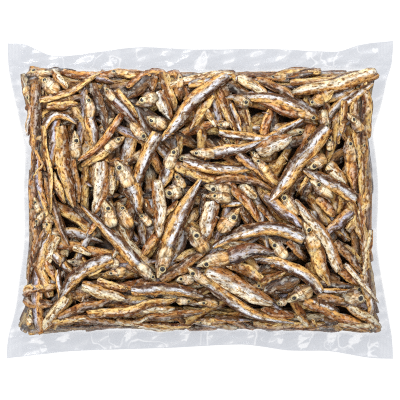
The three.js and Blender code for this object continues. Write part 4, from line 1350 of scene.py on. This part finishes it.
# ---- the studio ----
def light(name, azimuth, elevation, distance, size, power):
    """A softbox that faces the bag; its size is in metres."""
    lamp = bpy.data.lights.new(name, "AREA")
    lamp.shape = "RECTANGLE"
    lamp.size, lamp.size_y = size
    lamp.energy = power
    obj = bpy.data.objects.new(name, lamp)
    a, e = math.radians(azimuth), math.radians(elevation)
    flat = distance * math.cos(e)
    obj.location = (flat * math.cos(a), flat * math.sin(a), distance * math.sin(e))
    obj.rotation_euler = (math.pi / 2 - e, 0, a + math.pi / 2)
    bpy.context.scene.collection.objects.link(obj)


def world():
    """Pale light from all round, stronger from low down."""
    made = bpy.data.worlds.new("studio")
    made.use_nodes = True
    sky = made.node_tree
    direction = node(sky, "ShaderNodeTexCoord").outputs["Generated"]
    height = node(sky, "ShaderNodeSeparateXYZ", {0: direction}).outputs["Z"]
    background = sky.nodes["Background"]
    feed(sky, background.inputs["Strength"], range_node(sky, height, 0.15, 0.6, *AMBIENT))
    feed(sky, background.inputs["Color"], (0.97, 0.98, 1.0, 1))
    return made


def white_floor():
    bpy.ops.mesh.primitive_plane_add(size=FLOOR_SIDE, location=(0, 0, -FLOOR_DROP))
    floor = bpy.context.object
    floor.name = "floor"
    material, tree = new_material("white_floor")
    glow = node(tree, "ShaderNodeEmission", {"Color": (1, 1, 1, 1), "Strength": FLOOR_GLOW}).outputs[0]
    matt = node(tree, "ShaderNodeBsdfDiffuse", {"Color": (0.12, 0.12, 0.12, 1)}).outputs[0]
    surface(tree, node(tree, "ShaderNodeAddShader", {0: glow, 1: matt}).outputs[0])
    floor.data.materials.append(material)
    return floor


def studio():
    """A white floor, soft lights all round and the photograph's camera."""
    scene = bpy.context.scene
    scene.view_settings.view_transform = "Standard"
    scene.view_settings.look = "None"
    scene.cycles.use_denoising = False
    scene.cycles.filter_width = 1.1
    scene.world = world()
    for settings in LIGHTS:
        light(*settings)
    white_floor()

    camera = bpy.data.cameras.new("camera")
    camera.sensor_width = 36
    camera.lens = camera.sensor_width * (CAMERA_HEIGHT - SEAL_HEIGHT) / (PHOTO_SIDE * MM_PER_PIXEL)
    eye = bpy.data.objects.new("camera", camera)
    eye.location = (0, 0, CAMERA_HEIGHT * METRES)
    scene.collection.objects.link(eye)
    scene.camera = eye


def main():
    rng = np.random.default_rng(SEED)
    above, below = Pile(0), Pile(1)
    # The fish that only fill get painted shade through their bundle's tint.
    bundles = {
        "fish_below": Bundle(), "fish_between": Bundle(BETWEEN_PAINTED_SHADE),
        "whole_fish": Bundle(), "headless_fish": Bundle(), "loose_heads": Bundle(),
    }
    for pile, name, rings, sides, tries, hollows in (
        (below, "fish_below", 16, 10, FILLERS_BELOW, HOLLOWS_BELOW),
        (above, "fish_between", 18, 11, FILLERS_ABOVE, HOLLOWS_ABOVE),
    ):
        job = Round(pile, bundles[name], rng, rings, 10)
        fill_sides(job)
        fill(job._replace(rings=rings + 2, sides=sides), tries)
        fill_hollows(job, hollows)
    fill_edges(Round(above, bundles["headless_fish"], rng, 24, 13))
    kinds = {"whole": "whole_fish", "body": "headless_fish", "head": "loose_heads"}
    for catalogue, proud, rings, sides in (
        (UNDER_FISH, UNDER_PROUD, 32, 17),
        (UPPER_FISH, UPPER_PROUD, 42, 20),
    ):
        jobs = {kind: Round(above, bundles[name], rng, rings, sides) for kind, name in kinds.items()}
        show(jobs, catalogue, proud)
    bundles["chips"] = crumbs(above, rng)

    skins = [fish_material(), eye_material()]
    contents = [bundle.build(name, skins) for name, bundle in bundles.items()]
    core = np.linspace(-1, 1, CORE_COLUMNS), np.linspace(-1, 1, CORE_ROWS)
    # The heap's inside, painted dark as the shade between the fish.
    contents.append(closed_sheet("heap_inside_painted_shade", *core, core_heights, core_material()))

    plastic = film_material()
    heights = film_heights(above)
    film = [
        closed_sheet(name, np.linspace(-1, 1, columns), np.linspace(start, stop, rows), heights, plastic)
        for name, columns, start, stop, rows in (
            ("film", BODY_COLUMNS, -1, 1, BODY_ROWS),
            ("far_seal", FIN_COLUMNS, 1, 2, FIN_ROWS),
            ("near_seal", FIN_COLUMNS, -2, -1, FIN_ROWS),
        )
    ]
    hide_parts(NODE)
    studio()


main()
